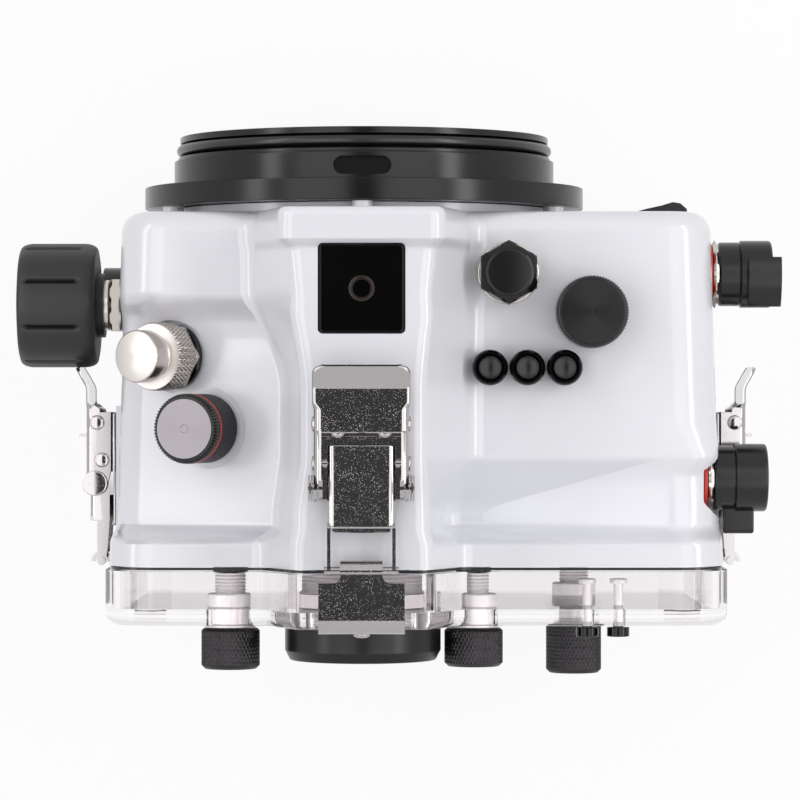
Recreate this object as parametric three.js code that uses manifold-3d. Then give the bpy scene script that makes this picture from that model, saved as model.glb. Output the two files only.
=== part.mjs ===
// Underwater camera housing: a moulded white shell with a port ring in front, a clear back
// held by three over-centre draw latches, and sealed controls that reach the camera inside.
// Millimetres. +X is the photographer's right, +Y the lens side, +Z up. The origin is on the
// flat base under the axis of the port.
import * as THREE from 'three';
import { mergeVertices } from 'three/addons/utils/BufferGeometryUtils.js';
import Module from 'manifold-3d';

const wasm = await Module();
wasm.setup();

// Clearances and shared values
const SEAT_GAP = 0.3;
const RUN_GAP = 0.35;
const OVERRUN = 2;
const MERGE = 0.0001;
const SIDES_PORT = 28;
const SIDES_LARGE = 16;
const SIDES = 12;
const SIDES_HIDDEN = 8;
const SIDES_PIN = 7;
const ARC_STEPS = 3;
const INNER_ARC_STEPS = 1;
const SHEET_ARC_STEPS = 3;
const CURL_STEPS = 4;

// Shell
const WALL = 4;
const FRONT_Y = 57;
const JOINT_Y = -50;
const LEFT_FRONT_X = -73;
const RIGHT_FRONT_X = 105.4;
const DRAFT_SHARE = 0.031;
const STEP_SHIFT_SHARE = 0.6;
const BASE_R = 12;
const SHOULDER_R = 14;
const CREST_R = 5;
const FOOT_R = 6;
const FRONT_R = 6.5;
const DECK_Z = 127;
const SPINE_Z = 150;
const CREST_FRONT = 21;
const CREST_WAIST = 17.8;
const CREST_REAR = 20;
const FOOT_HALF = 33.5;
const FOOT_STEEP_RUN = 4.8;
const LEFT_FLOOR_SLOPE_SHARE = 0.455;
const LEFT_STEP_TOP_Y = 30;
const LEFT_STEP_FOOT_Y = 19;
const LEFT_STEP_END_Y = 4;
const RIGHT_STEP_TOP_Y = -15;
const RIGHT_STEP_FOOT_Y = -33;
const RIGHT_POCKET_DEPTH = 15;
const VALLEY_FRONT_X = 90;
const POCKET_REAR_Y = -37.5;
const RIM_FRONT_Y = -42;
const RIM_LEFT_X = -76.7;
const RIM_RIGHT_X = 109.2;
const RIM_DECK_Z = 130;

// Crossbar and accessory plate on the spine
const BAR_HALF = 23.6;
const BAR_FRONT_Y = 56.2;
const BAR_REAR_Y = 46.2;
const BAR_TOP_Z = 153.2;
const BAR_DEPTH = 12;
const BAR_CORNER_R = 3.6;
const BAR_EDGE_R = 2.2;
const PLATE_HALF = 12.6;
const PLATE_REAR_Y = 19.8;
const PLATE_T = 6;
const PLATE_PROUD = 0.6;
const PLATE_CORNER_R = 1.2;
const PLATE_BEVEL = 0.7;
const PLATE_HOLE_R = 3;
const PLATE_HOLE_MOUTH_R = 3.8;

// Port ring
const PORT_Z = 70;
const PORT_BORE_R = 51.5;
const NECK_R = 60;
const POST_R = 3.15;
const POST_CIRCLE_R = 64.5;
const FLANGE_REAR_Y = 59.7;
const FLANGE_T = 6.6;
const FLANGE_R = 68.8;
const CYLINDER_R = 59.6;
const CYLINDER_L = 8.4;
const LAND_R = 58.4;
const LAND_L = 1.2;
const GROOVE_R = 55;
const GROOVE_L = 4.3;
const LIP_R = 57.8;
const LIP_L = 2;
const PORT_CHAMFER = 0.6;
const CORD_R = 1.75;
const CORD_RING_R = GROOVE_R + CORD_R + RUN_GAP;
const KEYWAY_L = 17.4;
const KEYWAY_W = 5.5;
const KEYWAY_DEPTH = 2.4;

// Clear back and its seal
const SEAL_T = 0.7;
const SEAL_W = 3;
const BACK_PROUD = 1.3;
const BACK_WALL = 4.5;
const BACK_PLATE_T = 5;
const BACK_DEPTH = 16.5;
const BACK_EDGE_R = 4;

// Eyepiece
const EYE_Z = 110;
const EYE_BARREL_R = 18.5;
const EYE_BARREL_WALL = 3;
const EYE_BORE_R = EYE_BARREL_R - EYE_BARREL_WALL;
const EYE_BARREL_REACH = 11.5;
const EYE_NUT_STEP = 3.5;
const EYE_NUT_R = EYE_BARREL_R + EYE_NUT_STEP;
const EYE_NUT_T = 4;
const EYE_RING_WALL = 4.9;
const EYE_RING_R = EYE_BARREL_R + SEAT_GAP + EYE_RING_WALL;
const EYE_RING_L = 12;
const EYE_RING_CHAMFER = 3;
const EYE_LIP_T = 1.2;
const EYE_LIP_W = 2.2;
const EYE_LENS_T = 2.6;

// Glands and shafts
const SLEEVE_R = 6;
const SHAFT_R = 3;
const SLEEVE_INNER = 3;
const BOSS_T = 4;
const SEAT_PROUD = 0.5;
const SEAT_MARGIN = 1.4;
const NICKEL_HEX_R = 10.4;
const NICKEL_HEX_T = 2.8;
const LEVER_HEX_T = 1.6;
const RED_SEAL_R = 9.6;
const RED_SEAL_T = 1.1;

// Zoom knob, on the left side
const ZOOM_Y = 29.5;
const ZOOM_Z = 80;
const ZOOM_HUB_R = 10;
const ZOOM_HUB_T = 3.8;
const ZOOM_KNOB_R = 19.3;
const ZOOM_KNOB_L = 23.9;
const ZOOM_LOBES = 8;
const LOBE_STEPS = 2;
const ZOOM_GROOVE_D = 1.6;
const ZOOM_GROOVE_HALF_SHARE = 0.055;
const ZOOM_EDGE = 4;
const ZOOM_GEAR_R = 12;
const ZOOM_GEAR_TEETH = 12;
const ZOOM_TOOTH_D = 1.8;
const TOOTH_ROOT_SHARE = 0.35;
const TOOTH_TIP_SHARES = [0.52, 0.83];
const ZOOM_GEAR_T = 4;

// Focus lever, low on the left side
const FOCUS_Y = 32.6;
const FOCUS_Z = 42;
const FOCUS_HUB_R = 10;
const FOCUS_HUB_L = 9.5;
const FOCUS_TAB_REACH = 19;
const FOCUS_TAB_W = 8;
const FOCUS_TAB_T = 4;

// Strobe connector and its cap, on the left floor
const STROBE_X = -56.5;
const STROBE_Y = 13.1;
const STROBE_TILT = 33;
const STROBE_BASE_R = 10.6;
const STROBE_BASE_T = 2;
const STROBE_NOSE_R = 7;
const STROBE_NOSE_L = 9.7;
const STROBE_SOCKET_R = 4.6;
const STROBE_SOCKET_D = 5;
const CAP_R = 10.4;
const CAP_L = 13.6;
const CAP_HEX_L = 4.6;
const CAP_ROOF_T = 2.4;
const CAP_NECK_R = 6.4;
const CAP_NECK_L = 1.6;
const CAP_DISC_R = 8.1;
const CAP_DISC_T = 7.6;
const CAP_CHAMFER = 0.6;

// Mode knob, on the left floor
const MODE_X = -46.5;
const MODE_Y = -8.6;
const MODE_TILT = 21.5;
const MODE_R = 10.5;
const MODE_L = 16.4;
const MODE_RING_H = 11.6;
const MODE_RING_R = 10.8;
const MODE_RING_W = 0.9;
const MODE_GROOVE_W = 1.6;
const MODE_GROOVE_D = 1.4;
const MODE_CUP_R = 10;
const MODE_CUP_L = 6;

// Right deck: hex plug, dial knob and three buttons
const PLUG_X = 43.8;
const PLUG_Y = 38.1;
const PLUG_R = 9.7;
const PLUG_L = 9;
const PLUG_DOME = 1.6;
const WASHER_R = 9.3;
const WASHER_T = 1.2;
const DIAL_X = 68.4;
const DIAL_Y = 26.2;
const DIAL_R = 10.8;
const DIAL_L = 14;
const DIAL_EDGE = 1.2;
const BUTTON_X = 38.2;
const BUTTON_PITCH = 11.15;
const BUTTON_COUNT = 3;
const BUTTON_Y = 9.7;
const COLLAR_R = 5.35;
const COLLAR_L = 7.5;
const COLLAR_WALL = 1.4;
const BUTTON_R = 3.4;
const BUTTON_PROUD = 0.6;
const BUTTON_DISH = 0.5;
const BUTTON_ROD_R = 1.6;
const BUTTON_TRAVEL = 2;
const BUTTON_REACH = 6;
const COLLAR_SLEEVE_R = 4;

// Shutter and thumb levers, on the right side
const SHUTTER_Y = 38.6;
const SHUTTER_Z = 100;
const THUMB_Y = -23.6;
const THUMB_Z = 111;
const THUMB_SINK = 5;
const SHUTTER_SINK = 0.6;
const LEVER_HUB_R = 9.8;
const LEVER_COLLAR_L = 6.1;
const LEVER_GROOVE = 0.3;
const LEVER_CAP_R = 10.3;
const LEVER_CAP_L = 9.7;
const PAD_T = 3.4;
const PAD_FROM = -21;
const PAD_TO = 48;
const PAD_BACK_SHARE = 0.8;
const PAD_PROUD = 2.2;
const TAB_REACH = 17;
const TAB_W = 9.4;
const TAB_T = 4;
const TAB_BACK = 3.8;
const ARM_L = 13;
const ARM_W = 5;
const ARM_T = 3;

// Front lever, on the lens side near the grip
const FRONT_LEVER_X = 92;
const FRONT_LEVER_Z = 88;
const FRONT_LEVER_HALF_L = 8;
const FRONT_LEVER_W = 9;
const FRONT_LEVER_T = 3.9;
const FRONT_LEVER_LOW_SHARE = 0.45;
const FRONT_LEVER_SHARES = [[1, 0.22], [0.6, 0.45], [0, 0.72], [-0.45, 1], [-0.75, 0.9], [-1, 0.45]];
const FRONT_SHAFT_R = 2;

// Controls on the clear back
const BACK_KNOB_R = 8.95;
const BACK_KNOB_EDGE = 1;
const BACK_GLAND_R = 7;
const BACK_GLAND_INNER = 10;
const BACK_SHAFT_R = 2.5;
const BACK_WHEEL_R = 5.4;
const BACK_WHEEL_T = 3.5;
const KNOB_A_X = 33.8;
const KNOB_A_Z = 105;
const KNOB_A_L = 12.6;
const KNOB_B_X = 67.6;
const KNOB_B_Z = 34;
const KNOB_B_L = 18.6;
const KNOB_C_X = -40.5;
const KNOB_C_Z = 105;
const KNOB_C_L = 13.6;
const BACK_BUTTON_X = 68.8;
const BACK_BUTTON_PITCH = 9.5;
const BACK_BUTTON_COUNT = 2;
const BACK_BUTTON_Z = 100;
const BACK_BUTTON_R = 3.45;
const BACK_BUTTON_L = 2.9;
const BACK_BUTTON_STEM_R = 1.5;
const BACK_BUTTON_TRAVEL = 1.6;
const BACK_BUTTON_REACH = 8;

// Camera tray
const TRAY_LEFT_X = -42;
const TRAY_RIGHT_X = 62;
const TRAY_REAR_Y = -40;
const TRAY_FRONT_Y = 22;
const TRAY_T = 3;
const TRAY_LIFT = 8;
const TRAY_RUNNER_W = 6;
const TRAY_SLOT_R = 3.6;
const TRAY_STOP_L = 34;
const TRAY_STOP_H = 9;
const SCREW_HEAD_R = 8;
const SCREW_HEAD_T = 5;
const SCREW_R = 3;
const SCREW_L = 8;

// Draw latches: places along Y and heights above the seat
const SIDE_LATCH_Z = 75;
const SHEET = 1;
const MAIN_Y = -25.8;
const MAIN_H = 6.6;
const LINK_Y = -18.6;
const LINK_H = 4.4;
const TIE_Y = -7;
const TIE_H = 5.9;
const HOOK_BAR_Y = JOINT_Y;
const HOOK_BAR_H = 4.8;
const HOOK_BAR_R = 1.2;
const LATCH_BASE_FRONT_Y = -3.8;
const LATCH_BASE_REAR_Y = -39;
const EAR_R = 3.6;
const EAR_T = 1.2;
const EAR_GAP = 0.4;
const HANDLE_HALF = 14.4;
const HANDLE_LIP = 0.5;
const LATCH_BASE_HALF = HANDLE_HALF - HANDLE_LIP - SHEET - EAR_GAP;
const LINK_SIDE_GAP = 1.25;
const LINK_HALF = LATCH_BASE_HALF - EAR_T - LINK_SIDE_GAP;
const HOOK_BAR_END = 0.85;
const HOOK_BAR_HALF = LINK_HALF + HOOK_BAR_END;
const PIN_R = 1.5;
const RIVET_R = 2.3;
const RIVET_T = 0.8;
const LINK_PIN_R = 1.3;
const TIE_PIN_R = 1;
const SIDE_PLATE_END_R = 4;
const SIDE_PLATE_LOW_H = 1.7;
const WEB_H = 9.4;
const WEB_REAR_Y = -9.3;
const WEB_FRONT_Y = -1.5;
const TIP_Y = 9.8;
const TIP_H = 12.8;
const TIP_CHAMFER = 3.5;
const HANDLE_CURL_SHARES = [[0, 0], [0.3, 0.06], [0.55, 0.22], [0.78, 0.52], [1, 1]];
const HANDLE_LEAN_SHARE = 0.7;
const TIP_FLANGE_D = 5.2;
const LINK_FRONT_Y = -13.3;
const LINK_REAR_Y = -37.5;
const LINK_TOP_H = 8.4;
const LINK_LOW_H = 2.4;
const ARM_TOP_H = 6.2;
const CATCH_NECK_HALF = 6.2;
const CATCH_HALF = 12.7;
const CATCH_NECK_REAR_Y = -54.8;
const HOOK_GAP = 0.8;
const HOOK_ROOF_H = 7.3;
const CATCH_DROP = 8;
const CATCH_SCREW_R = 2.65;
const CATCH_SCREW_T = 1.2;
const LOCK_REAR_Y = -11.4;
const LOCK_T = 0.8;
const LOCK_TONGUE_H = 12.4;
const LOCK_TONGUE_W = 2.4;

// Finishes
const finish = (color, roughness, metalness, opacity = 1) => new THREE.MeshStandardMaterial({
  color, roughness, metalness, opacity, transparent: opacity < 1,
});
const whitePlastic = () => finish(0xe6e6ec, 0.25, 0);
const blackAnodised = () => finish(0x2a282a, 0.42, 0.6);
const blackPlastic = () => finish(0x18181a, 0.35, 0);
const blackRubber = () => finish(0x101012, 0.6, 0);
const clearPlastic = () => finish(0xe8e2e0, 0.05, 0, 0.35);
const nickel = () => finish(0xcfc4bb, 0.28, 1);
const stainless = () => finish(0xc9c5c4, 0.15, 1);
const redRubber = () => finish(0xd8382c, 0.5, 0);
const lensGlass = () => finish(0xdfe6ea, 0.03, 0, 0.4);

const UP = new THREE.Vector3(0, 0, 1);
const radians = THREE.MathUtils.degToRad;

// A closed mesh with shared corners merged, collapsed triangles dropped and faces outward
function tidy(geometry) {
  const bare = new THREE.BufferGeometry();
  bare.setAttribute('position', geometry.getAttribute('position'));
  if (geometry.index) bare.setIndex(geometry.index);
  const merged = mergeVertices(bare, MERGE);
  const source = merged.index.array;
  const kept = [];
  for (let i = 0; i < source.length; i += 3) {
    const [a, b, c] = [source[i], source[i + 1], source[i + 2]];
    if (a !== b && b !== c && c !== a) kept.push(a, b, c);
  }
  if (volumeOf(merged, kept) < 0) kept.reverse();
  merged.setIndex(kept);
  return merged;
}

function volumeOf(geometry, index) {
  const corners = geometry.getAttribute('position');
  const [a, b, c] = [new THREE.Vector3(), new THREE.Vector3(), new THREE.Vector3()];
  let six = 0;
  for (let i = 0; i < index.length; i += 3) {
    a.fromBufferAttribute(corners, index[i]);
    b.fromBufferAttribute(corners, index[i + 1]);
    c.fromBufferAttribute(corners, index[i + 2]);
    six += a.dot(b.cross(c));
  }
  return six;
}

function solidOf(geometry) {
  const closed = tidy(geometry);
  return new wasm.Manifold(new wasm.Mesh({
    numProp: 3,
    vertProperties: new Float32Array(closed.getAttribute('position').array),
    triVerts: new Uint32Array(closed.index.array),
  }));
}

function geometryOf(solid) {
  const mesh = solid.getMesh();
  const geometry = new THREE.BufferGeometry();
  geometry.setAttribute('position', new THREE.BufferAttribute(new Float32Array(mesh.vertProperties), 3));
  geometry.setIndex(new THREE.BufferAttribute(new Uint32Array(mesh.triVerts), 1));
  return geometry;
}

const join = (...shapes) => geometryOf(shapes.map(solidOf).reduce((whole, piece) => whole.add(piece)));
const cut = (shape, ...tools) => geometryOf(
  tools.map(solidOf).reduce((whole, tool) => whole.subtract(tool), solidOf(shape)),
);

// A profile of [radius, height] points turned about Z
function turned(profile, sides = SIDES) {
  const points = profile.map(([radius, height]) => new THREE.Vector2(radius, height));
  return new THREE.LatheGeometry(points, sides).rotateX(Math.PI / 2);
}

// A cylinder or prism standing on Z between two heights
function post(radius, low, high, sides = SIDES, turn = 0) {
  const body = new THREE.CylinderGeometry(radius, radius, high - low, sides).rotateX(Math.PI / 2);
  return body.rotateZ(turn).translate(0, 0, (low + high) / 2);
}

function block(x0, x1, y0, y1, z0, z1) {
  const box = new THREE.BoxGeometry(x1 - x0, y1 - y0, z1 - z0);
  return box.translate((x0 + x1) / 2, (y0 + y1) / 2, (z0 + z1) / 2);
}

function shapeOf(points) {
  return new THREE.Shape(points.map(([x, y]) => new THREE.Vector2(x, y)));
}

function standing(points, low, high) {
  const body = new THREE.ExtrudeGeometry(shapeOf(points), { depth: high - low, bevelEnabled: false });
  return body.translate(0, 0, low);
}

// A side profile of [y, z] points, extruded along X
const ALONG_X = new THREE.Matrix4().makeBasis(
  new THREE.Vector3(0, 1, 0), UP, new THREE.Vector3(1, 0, 0),
);
function across(points, x0, x1) {
  return standing(points, x0, x1).applyMatrix4(ALONG_X);
}

function pinAcross(y, z, radius, x0, x1, sides = SIDES_PIN) {
  return post(radius, x0, x1, sides).applyMatrix4(ALONG_X).translate(0, y, z);
}

// Points of an arc about [x, y], from one angle to another in degrees
function arc(x, y, radius, from, to, steps) {
  const points = [];
  for (let i = 0; i <= steps; i += 1) {
    const angle = radians(from + (to - from) * i / steps);
    points.push([x + radius * Math.cos(angle), y + radius * Math.sin(angle)]);
  }
  return points;
}

// A closed outline through [x, y, radius] corners, each rounded by the same number of steps
function rounded(corners, steps = ARC_STEPS) {
  const outline = [];
  corners.forEach(([x, y, radius], i) => {
    const here = new THREE.Vector2(x, y);
    const before = new THREE.Vector2(...corners.at(i - 1).slice(0, 2)).sub(here);
    const after = new THREE.Vector2(...corners[(i + 1) % corners.length].slice(0, 2)).sub(here);
    const opening = Math.acos(before.dot(after) / (before.length() * after.length()));
    const room = Math.min(before.length(), after.length()) * ROUND_ROOM_SHARE;
    const back = Math.min(radius / Math.tan(opening / 2), room);
    const start = before.clone().setLength(back).add(here);
    const end = after.clone().setLength(back).add(here);
    for (let k = 0; k <= steps; k += 1) {
      const t = k / steps;
      const sag = arcWeight(t, opening);
      const point = start.clone().lerp(end, sag.along).lerp(here, sag.pull);
      outline.push([point.x, point.y]);
    }
  });
  return outline;
}
const ROUND_ROOM_SHARE = 0.46;

// A round corner as a rational curve: how far along the chord and how far towards the corner
function arcWeight(t, opening) {
  const weight = Math.sin(opening / 2);
  const [a, b, c] = [(1 - t) ** 2, 2 * t * (1 - t) * weight, t ** 2];
  const sum = a + b + c;
  return { along: a + c > 0 ? c / (a + c) : 0, pull: b / sum };
}

// A solid through closed rings of [x, z] points at stations along Y
function loft(stations) {
  const count = stations[0].outline.length;
  const corners = stations.flatMap(({ y, outline }) => outline.flatMap(([x, z]) => [x, y, z]));
  const index = [];
  for (let ring = 0; ring + 1 < stations.length; ring += 1) {
    for (let i = 0; i < count; i += 1) {
      const [a, b] = [ring * count + i, ring * count + (i + 1) % count];
      index.push(a, b, a + count, b, b + count, a + count);
    }
  }
  const capAt = (ring, flip) => {
    const face = stations[ring].outline.map(([x, z]) => new THREE.Vector2(x, z));
    for (const [a, b, c] of THREE.ShapeUtils.triangulateShape(face, [])) {
      const base = ring * count;
      index.push(base + a, base + (flip ? c : b), base + (flip ? b : c));
    }
  };
  const turnsLeft = THREE.ShapeUtils.area(stations[0].outline.map(([x, z]) => new THREE.Vector2(x, z))) > 0;
  capAt(0, turnsLeft);
  capAt(stations.length - 1, !turnsLeft);
  const geometry = new THREE.BufferGeometry();
  geometry.setAttribute('position', new THREE.Float32BufferAttribute(corners, 3));
  geometry.setIndex(index);
  return geometry;
}

// Seats: a point on the wall and the direction that a control stands in
function tiltedLeft(degrees) {
  const angle = radians(degrees);
  return new THREE.Vector3(-Math.sin(angle), 0, Math.cos(angle));
}
const seat = (x, y, z, out) => ({ at: new THREE.Vector3(x, y, z), out });
const leftWallX = (y) => LEFT_FRONT_X - DRAFT_SHARE * (FRONT_Y - y);
const rightWallX = (y) => RIGHT_FRONT_X + DRAFT_SHARE * (FRONT_Y - y);
const footSteepX = CREST_WAIST + FOOT_STEEP_RUN;
const leftFloorZ = (x) => DECK_Z - LEFT_FLOOR_SLOPE_SHARE * (-footSteepX - x);
const backInnerY = JOINT_Y - SEAT_GAP - SEAL_T - SEAT_GAP;
const backOuterY = backInnerY - BACK_DEPTH;

const LEFT = new THREE.Vector3(-1, 0, 0);
const RIGHT = new THREE.Vector3(1, 0, 0);
const FORWARD = new THREE.Vector3(0, 1, 0);
const BACKWARD = new THREE.Vector3(0, -1, 0);
const SEATS = {
  zoom: seat(leftWallX(ZOOM_Y) - SEAT_PROUD, ZOOM_Y, ZOOM_Z, LEFT),
  focus: seat(leftWallX(FOCUS_Y) - SEAT_PROUD, FOCUS_Y, FOCUS_Z, LEFT),
  strobe: seat(STROBE_X, STROBE_Y, leftFloorZ(STROBE_X), tiltedLeft(STROBE_TILT)),
  mode: seat(MODE_X, MODE_Y, leftFloorZ(MODE_X), tiltedLeft(MODE_TILT)),
  plug: seat(PLUG_X, PLUG_Y, DECK_Z, UP),
  dial: seat(DIAL_X, DIAL_Y, DECK_Z, UP),
  shutter: seat(rightWallX(SHUTTER_Y) - SHUTTER_SINK, SHUTTER_Y, SHUTTER_Z, RIGHT),
  thumb: seat(rightWallX(THUMB_Y) - THUMB_SINK, THUMB_Y, THUMB_Z, RIGHT),
  front: seat(FRONT_LEVER_X, FRONT_Y, FRONT_LEVER_Z, FORWARD),
};
const topButtonSeat = (i) => seat(BUTTON_X + i * BUTTON_PITCH, BUTTON_Y, DECK_Z, UP);
const backSeat = (x, z) => seat(x, backOuterY, z, BACKWARD);
const backButtonSeat = (i) => backSeat(BACK_BUTTON_X + i * BACK_BUTTON_PITCH, BACK_BUTTON_Z);

function seatMatrix({ at, out }) {
  const turn = new THREE.Quaternion().setFromUnitVectors(UP, out);
  return new THREE.Matrix4().compose(at, turn, new THREE.Vector3(1, 1, 1));
}
const onSeat = (geometry, place) => geometry.applyMatrix4(seatMatrix(place));
function seatGroup(place) {
  const group = new THREE.Group();
  group.applyMatrix4(seatMatrix(place));
  return group;
}

function add(group, name, geometry, material) {
  const mesh = new THREE.Mesh(tidy(geometry), material);
  mesh.name = name;
  group.add(mesh);
}

// The shell's cross-section corners at a station, drawn in by an inset
function shellSection(y, form, inset = 0, steps = ARC_STEPS) {
  const slant = inset / 2;
  const base = Math.max(inset, 0);
  const left = (form.left ?? leftWallX(y)) + inset;
  const right = (form.right ?? rightWallX(y)) - inset;
  const radius = (size) => Math.max(size - inset, size / 3);
  return rounded([
    [left, base, radius(BASE_R)],
    [right, base, radius(BASE_R)],
    [right, form.rightOutZ - inset, radius(SHOULDER_R)],
    [form.valleyX, form.valleyZ - inset, FOOT_R],
    [form.footRight - slant, form.footRightZ - inset, FOOT_R],
    [form.crest - slant, form.topZ - inset, radius(CREST_R)],
    [-form.crest + slant, form.topZ - inset, radius(CREST_R)],
    [-form.footLeft + slant, form.footLeftZ - inset, FOOT_R],
    [left, form.leftOutZ - inset, radius(SHOULDER_R)],
  ], steps);
}

const midDeckX = (FOOT_HALF + VALLEY_FRONT_X) / 2;
const flatForm = {
  crest: CREST_FRONT, topZ: SPINE_Z, footLeft: FOOT_HALF, footLeftZ: DECK_Z, leftOutZ: DECK_Z,
  footRight: FOOT_HALF, footRightZ: DECK_Z, valleyX: midDeckX, valleyZ: DECK_Z, rightOutZ: DECK_Z,
};
const floorForm = {
  ...flatForm, crest: CREST_WAIST, footLeft: footSteepX, leftOutZ: leftFloorZ(leftWallX(0)),
};
const ledgeForm = { ...floorForm, valleyX: VALLEY_FRONT_X };
const pocketForm = {
  ...floorForm,
  crest: CREST_REAR,
  footLeft: CREST_REAR + FOOT_STEEP_RUN,
  footRight: CREST_REAR + FOOT_STEEP_RUN,
  footRightZ: DECK_Z - RIGHT_POCKET_DEPTH,
  valleyX: CREST_REAR + FOOT_STEEP_RUN + 2 * FOOT_R,
  valleyZ: DECK_Z - RIGHT_POCKET_DEPTH,
};
const rimForm = {
  crest: CREST_REAR, topZ: SPINE_Z, left: RIM_LEFT_X, right: RIM_RIGHT_X,
  footLeft: CREST_REAR + 2 * FOOT_STEEP_RUN, footLeftZ: RIM_DECK_Z, leftOutZ: RIM_DECK_Z,
  footRight: CREST_REAR + 2 * FOOT_STEEP_RUN, footRightZ: RIM_DECK_Z,
  valleyX: midDeckX, valleyZ: RIM_DECK_Z, rightOutZ: RIM_DECK_Z,
};
const between = (from, to, share) => Object.fromEntries(
  Object.keys(from).map((key) => [key, from[key] + (to[key] - from[key]) * share]),
);

// Stations of the shell. The inside's steps are shifted so that the wall keeps its thickness.
const STEP_TOP_SHARE = 0.5;
const STEP_FOOT_SHARE = 0.6;
function shellStations(inset, shift, steps) {
  return [
    [LEFT_STEP_TOP_Y, between(flatForm, { ...flatForm, crest: CREST_WAIST }, STEP_TOP_SHARE), shift],
    [LEFT_STEP_FOOT_Y, between(flatForm, floorForm, STEP_FOOT_SHARE), shift],
    [LEFT_STEP_END_Y, floorForm, shift],
    [RIGHT_STEP_TOP_Y, ledgeForm, shift],
    [RIGHT_STEP_FOOT_Y, pocketForm, shift],
    [POCKET_REAR_Y, pocketForm, -shift],
    [RIM_FRONT_Y, rimForm, -shift],
  ].map(([y, form, move]) => ({ y: y + move, outline: shellSection(y, form, inset, steps) }));
}

function frontRounding() {
  const steps = ARC_STEPS;
  return Array.from({ length: steps + 1 }, (_, i) => {
    const angle = (Math.PI / 2) * (i / steps);
    const inset = FRONT_R * (1 - Math.sin(angle));
    const y = FRONT_Y - FRONT_R * (1 - Math.cos(angle));
    return { y, outline: shellSection(y, flatForm, inset) };
  });
}

function shellOutside() {
  return loft([
    ...frontRounding(), ...shellStations(0, 0, ARC_STEPS),
    { y: JOINT_Y, outline: shellSection(JOINT_Y, rimForm) },
  ]);
}

// The hollow for the camera, lower under the accessory plate, open at the joint
function shellInside() {
  const bedZ = SPINE_Z + PLATE_PROUD - PLATE_T - SEAT_GAP - WALL;
  const bedForm = { ...flatForm, topZ: bedZ + WALL };
  const inner = (y, form) => shellSection(y, form, WALL, INNER_ARC_STEPS);
  const bedForms = [
    between(bedForm, { ...bedForm, crest: CREST_WAIST }, STEP_TOP_SHARE),
    between(bedForm, { ...floorForm, topZ: bedForm.topZ }, STEP_FOOT_SHARE),
  ];
  return loft([
    { y: FRONT_Y - WALL, outline: inner(FRONT_Y, bedForm) },
    ...shellStations(WALL, WALL * STEP_SHIFT_SHARE, INNER_ARC_STEPS).map(({ y, outline }, i) => (
      { y, outline: bedForms[i] ? inner(y, bedForms[i]) : outline })),
    { y: JOINT_Y - OVERRUN, outline: inner(JOINT_Y, rimForm) },
  ]);
}

function crossbar() {
  const [halfX, halfY] = [BAR_HALF - BAR_EDGE_R, (BAR_FRONT_Y - BAR_REAR_Y) / 2 - BAR_EDGE_R];
  const corner = BAR_CORNER_R - BAR_EDGE_R;
  const outline = rounded([
    [-halfX, -halfY, corner], [halfX, -halfY, corner], [halfX, halfY, corner], [-halfX, halfY, corner],
  ]);
  const body = new THREE.ExtrudeGeometry(shapeOf(outline), {
    depth: BAR_DEPTH - 2 * BAR_EDGE_R, bevelSize: BAR_EDGE_R, bevelThickness: BAR_EDGE_R, bevelSegments: 2,
  });
  return body.translate(0, (BAR_FRONT_Y + BAR_REAR_Y) / 2, BAR_TOP_Z - BAR_DEPTH + BAR_EDGE_R);
}

function squareOutline(half, front, rear, radius) {
  return rounded([
    [-half, rear, radius], [half, rear, radius], [half, front, radius], [-half, front, radius],
  ]);
}
const plateFrontY = BAR_REAR_Y - SEAT_GAP;
const plateTopZ = SPINE_Z + PLATE_PROUD;

function portPosts() {
  return [90, 25, 155, -25, 205].map((angle) => {
    const [x, z] = arc(0, PORT_Z, POST_CIRCLE_R, angle, angle, 1)[0];
    return onSeat(post(POST_R, -WALL, FLANGE_REAR_Y - SEAT_GAP - FRONT_Y, SIDES_HIDDEN),
      seat(x, FRONT_Y, z, FORWARD));
  });
}

const latchPad = (wallX, rimX) => block(
  Math.min(wallX, rimX), Math.max(wallX, rimX), RIM_FRONT_Y - OVERRUN, LATCH_BASE_FRONT_Y + OVERRUN,
  SIDE_LATCH_Z - HANDLE_HALF, SIDE_LATCH_Z + HANDLE_HALF,
);

// What each seat does to the shell: a flat boss, a faced spot over it and a hole through it
const leverSeatR = NICKEL_HEX_R + SEAT_MARGIN;
const strobeSeatR = STROBE_BASE_R + SEAT_MARGIN;
const modeSeatR = MODE_R + SEAT_MARGIN;
const SHELL_SEATS = [
  { place: SEATS.zoom, boss: NICKEL_HEX_R + SEAT_MARGIN, hole: SLEEVE_R },
  { place: SEATS.focus, hole: SLEEVE_R },
  { place: SEATS.strobe, boss: strobeSeatR, face: strobeSeatR, hole: SLEEVE_R },
  { place: SEATS.mode, boss: modeSeatR, face: modeSeatR, hole: SLEEVE_R },
  { place: SEATS.plug, face: PLUG_R, hole: SLEEVE_R },
  { place: SEATS.dial, hole: SLEEVE_R },
  { place: SEATS.shutter, boss: leverSeatR, face: leverSeatR, hole: SLEEVE_R },
  { place: SEATS.thumb, boss: leverSeatR, face: leverSeatR, hole: SLEEVE_R },
  { place: SEATS.front, hole: FRONT_SHAFT_R },
  ...Array.from({ length: BUTTON_COUNT }, (_, i) => (
    { place: topButtonSeat(i), face: i === 0 && COLLAR_R, hole: COLLAR_SLEEVE_R, sides: SIDES })),
];
const bossDepth = WALL + BOSS_T;

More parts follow.
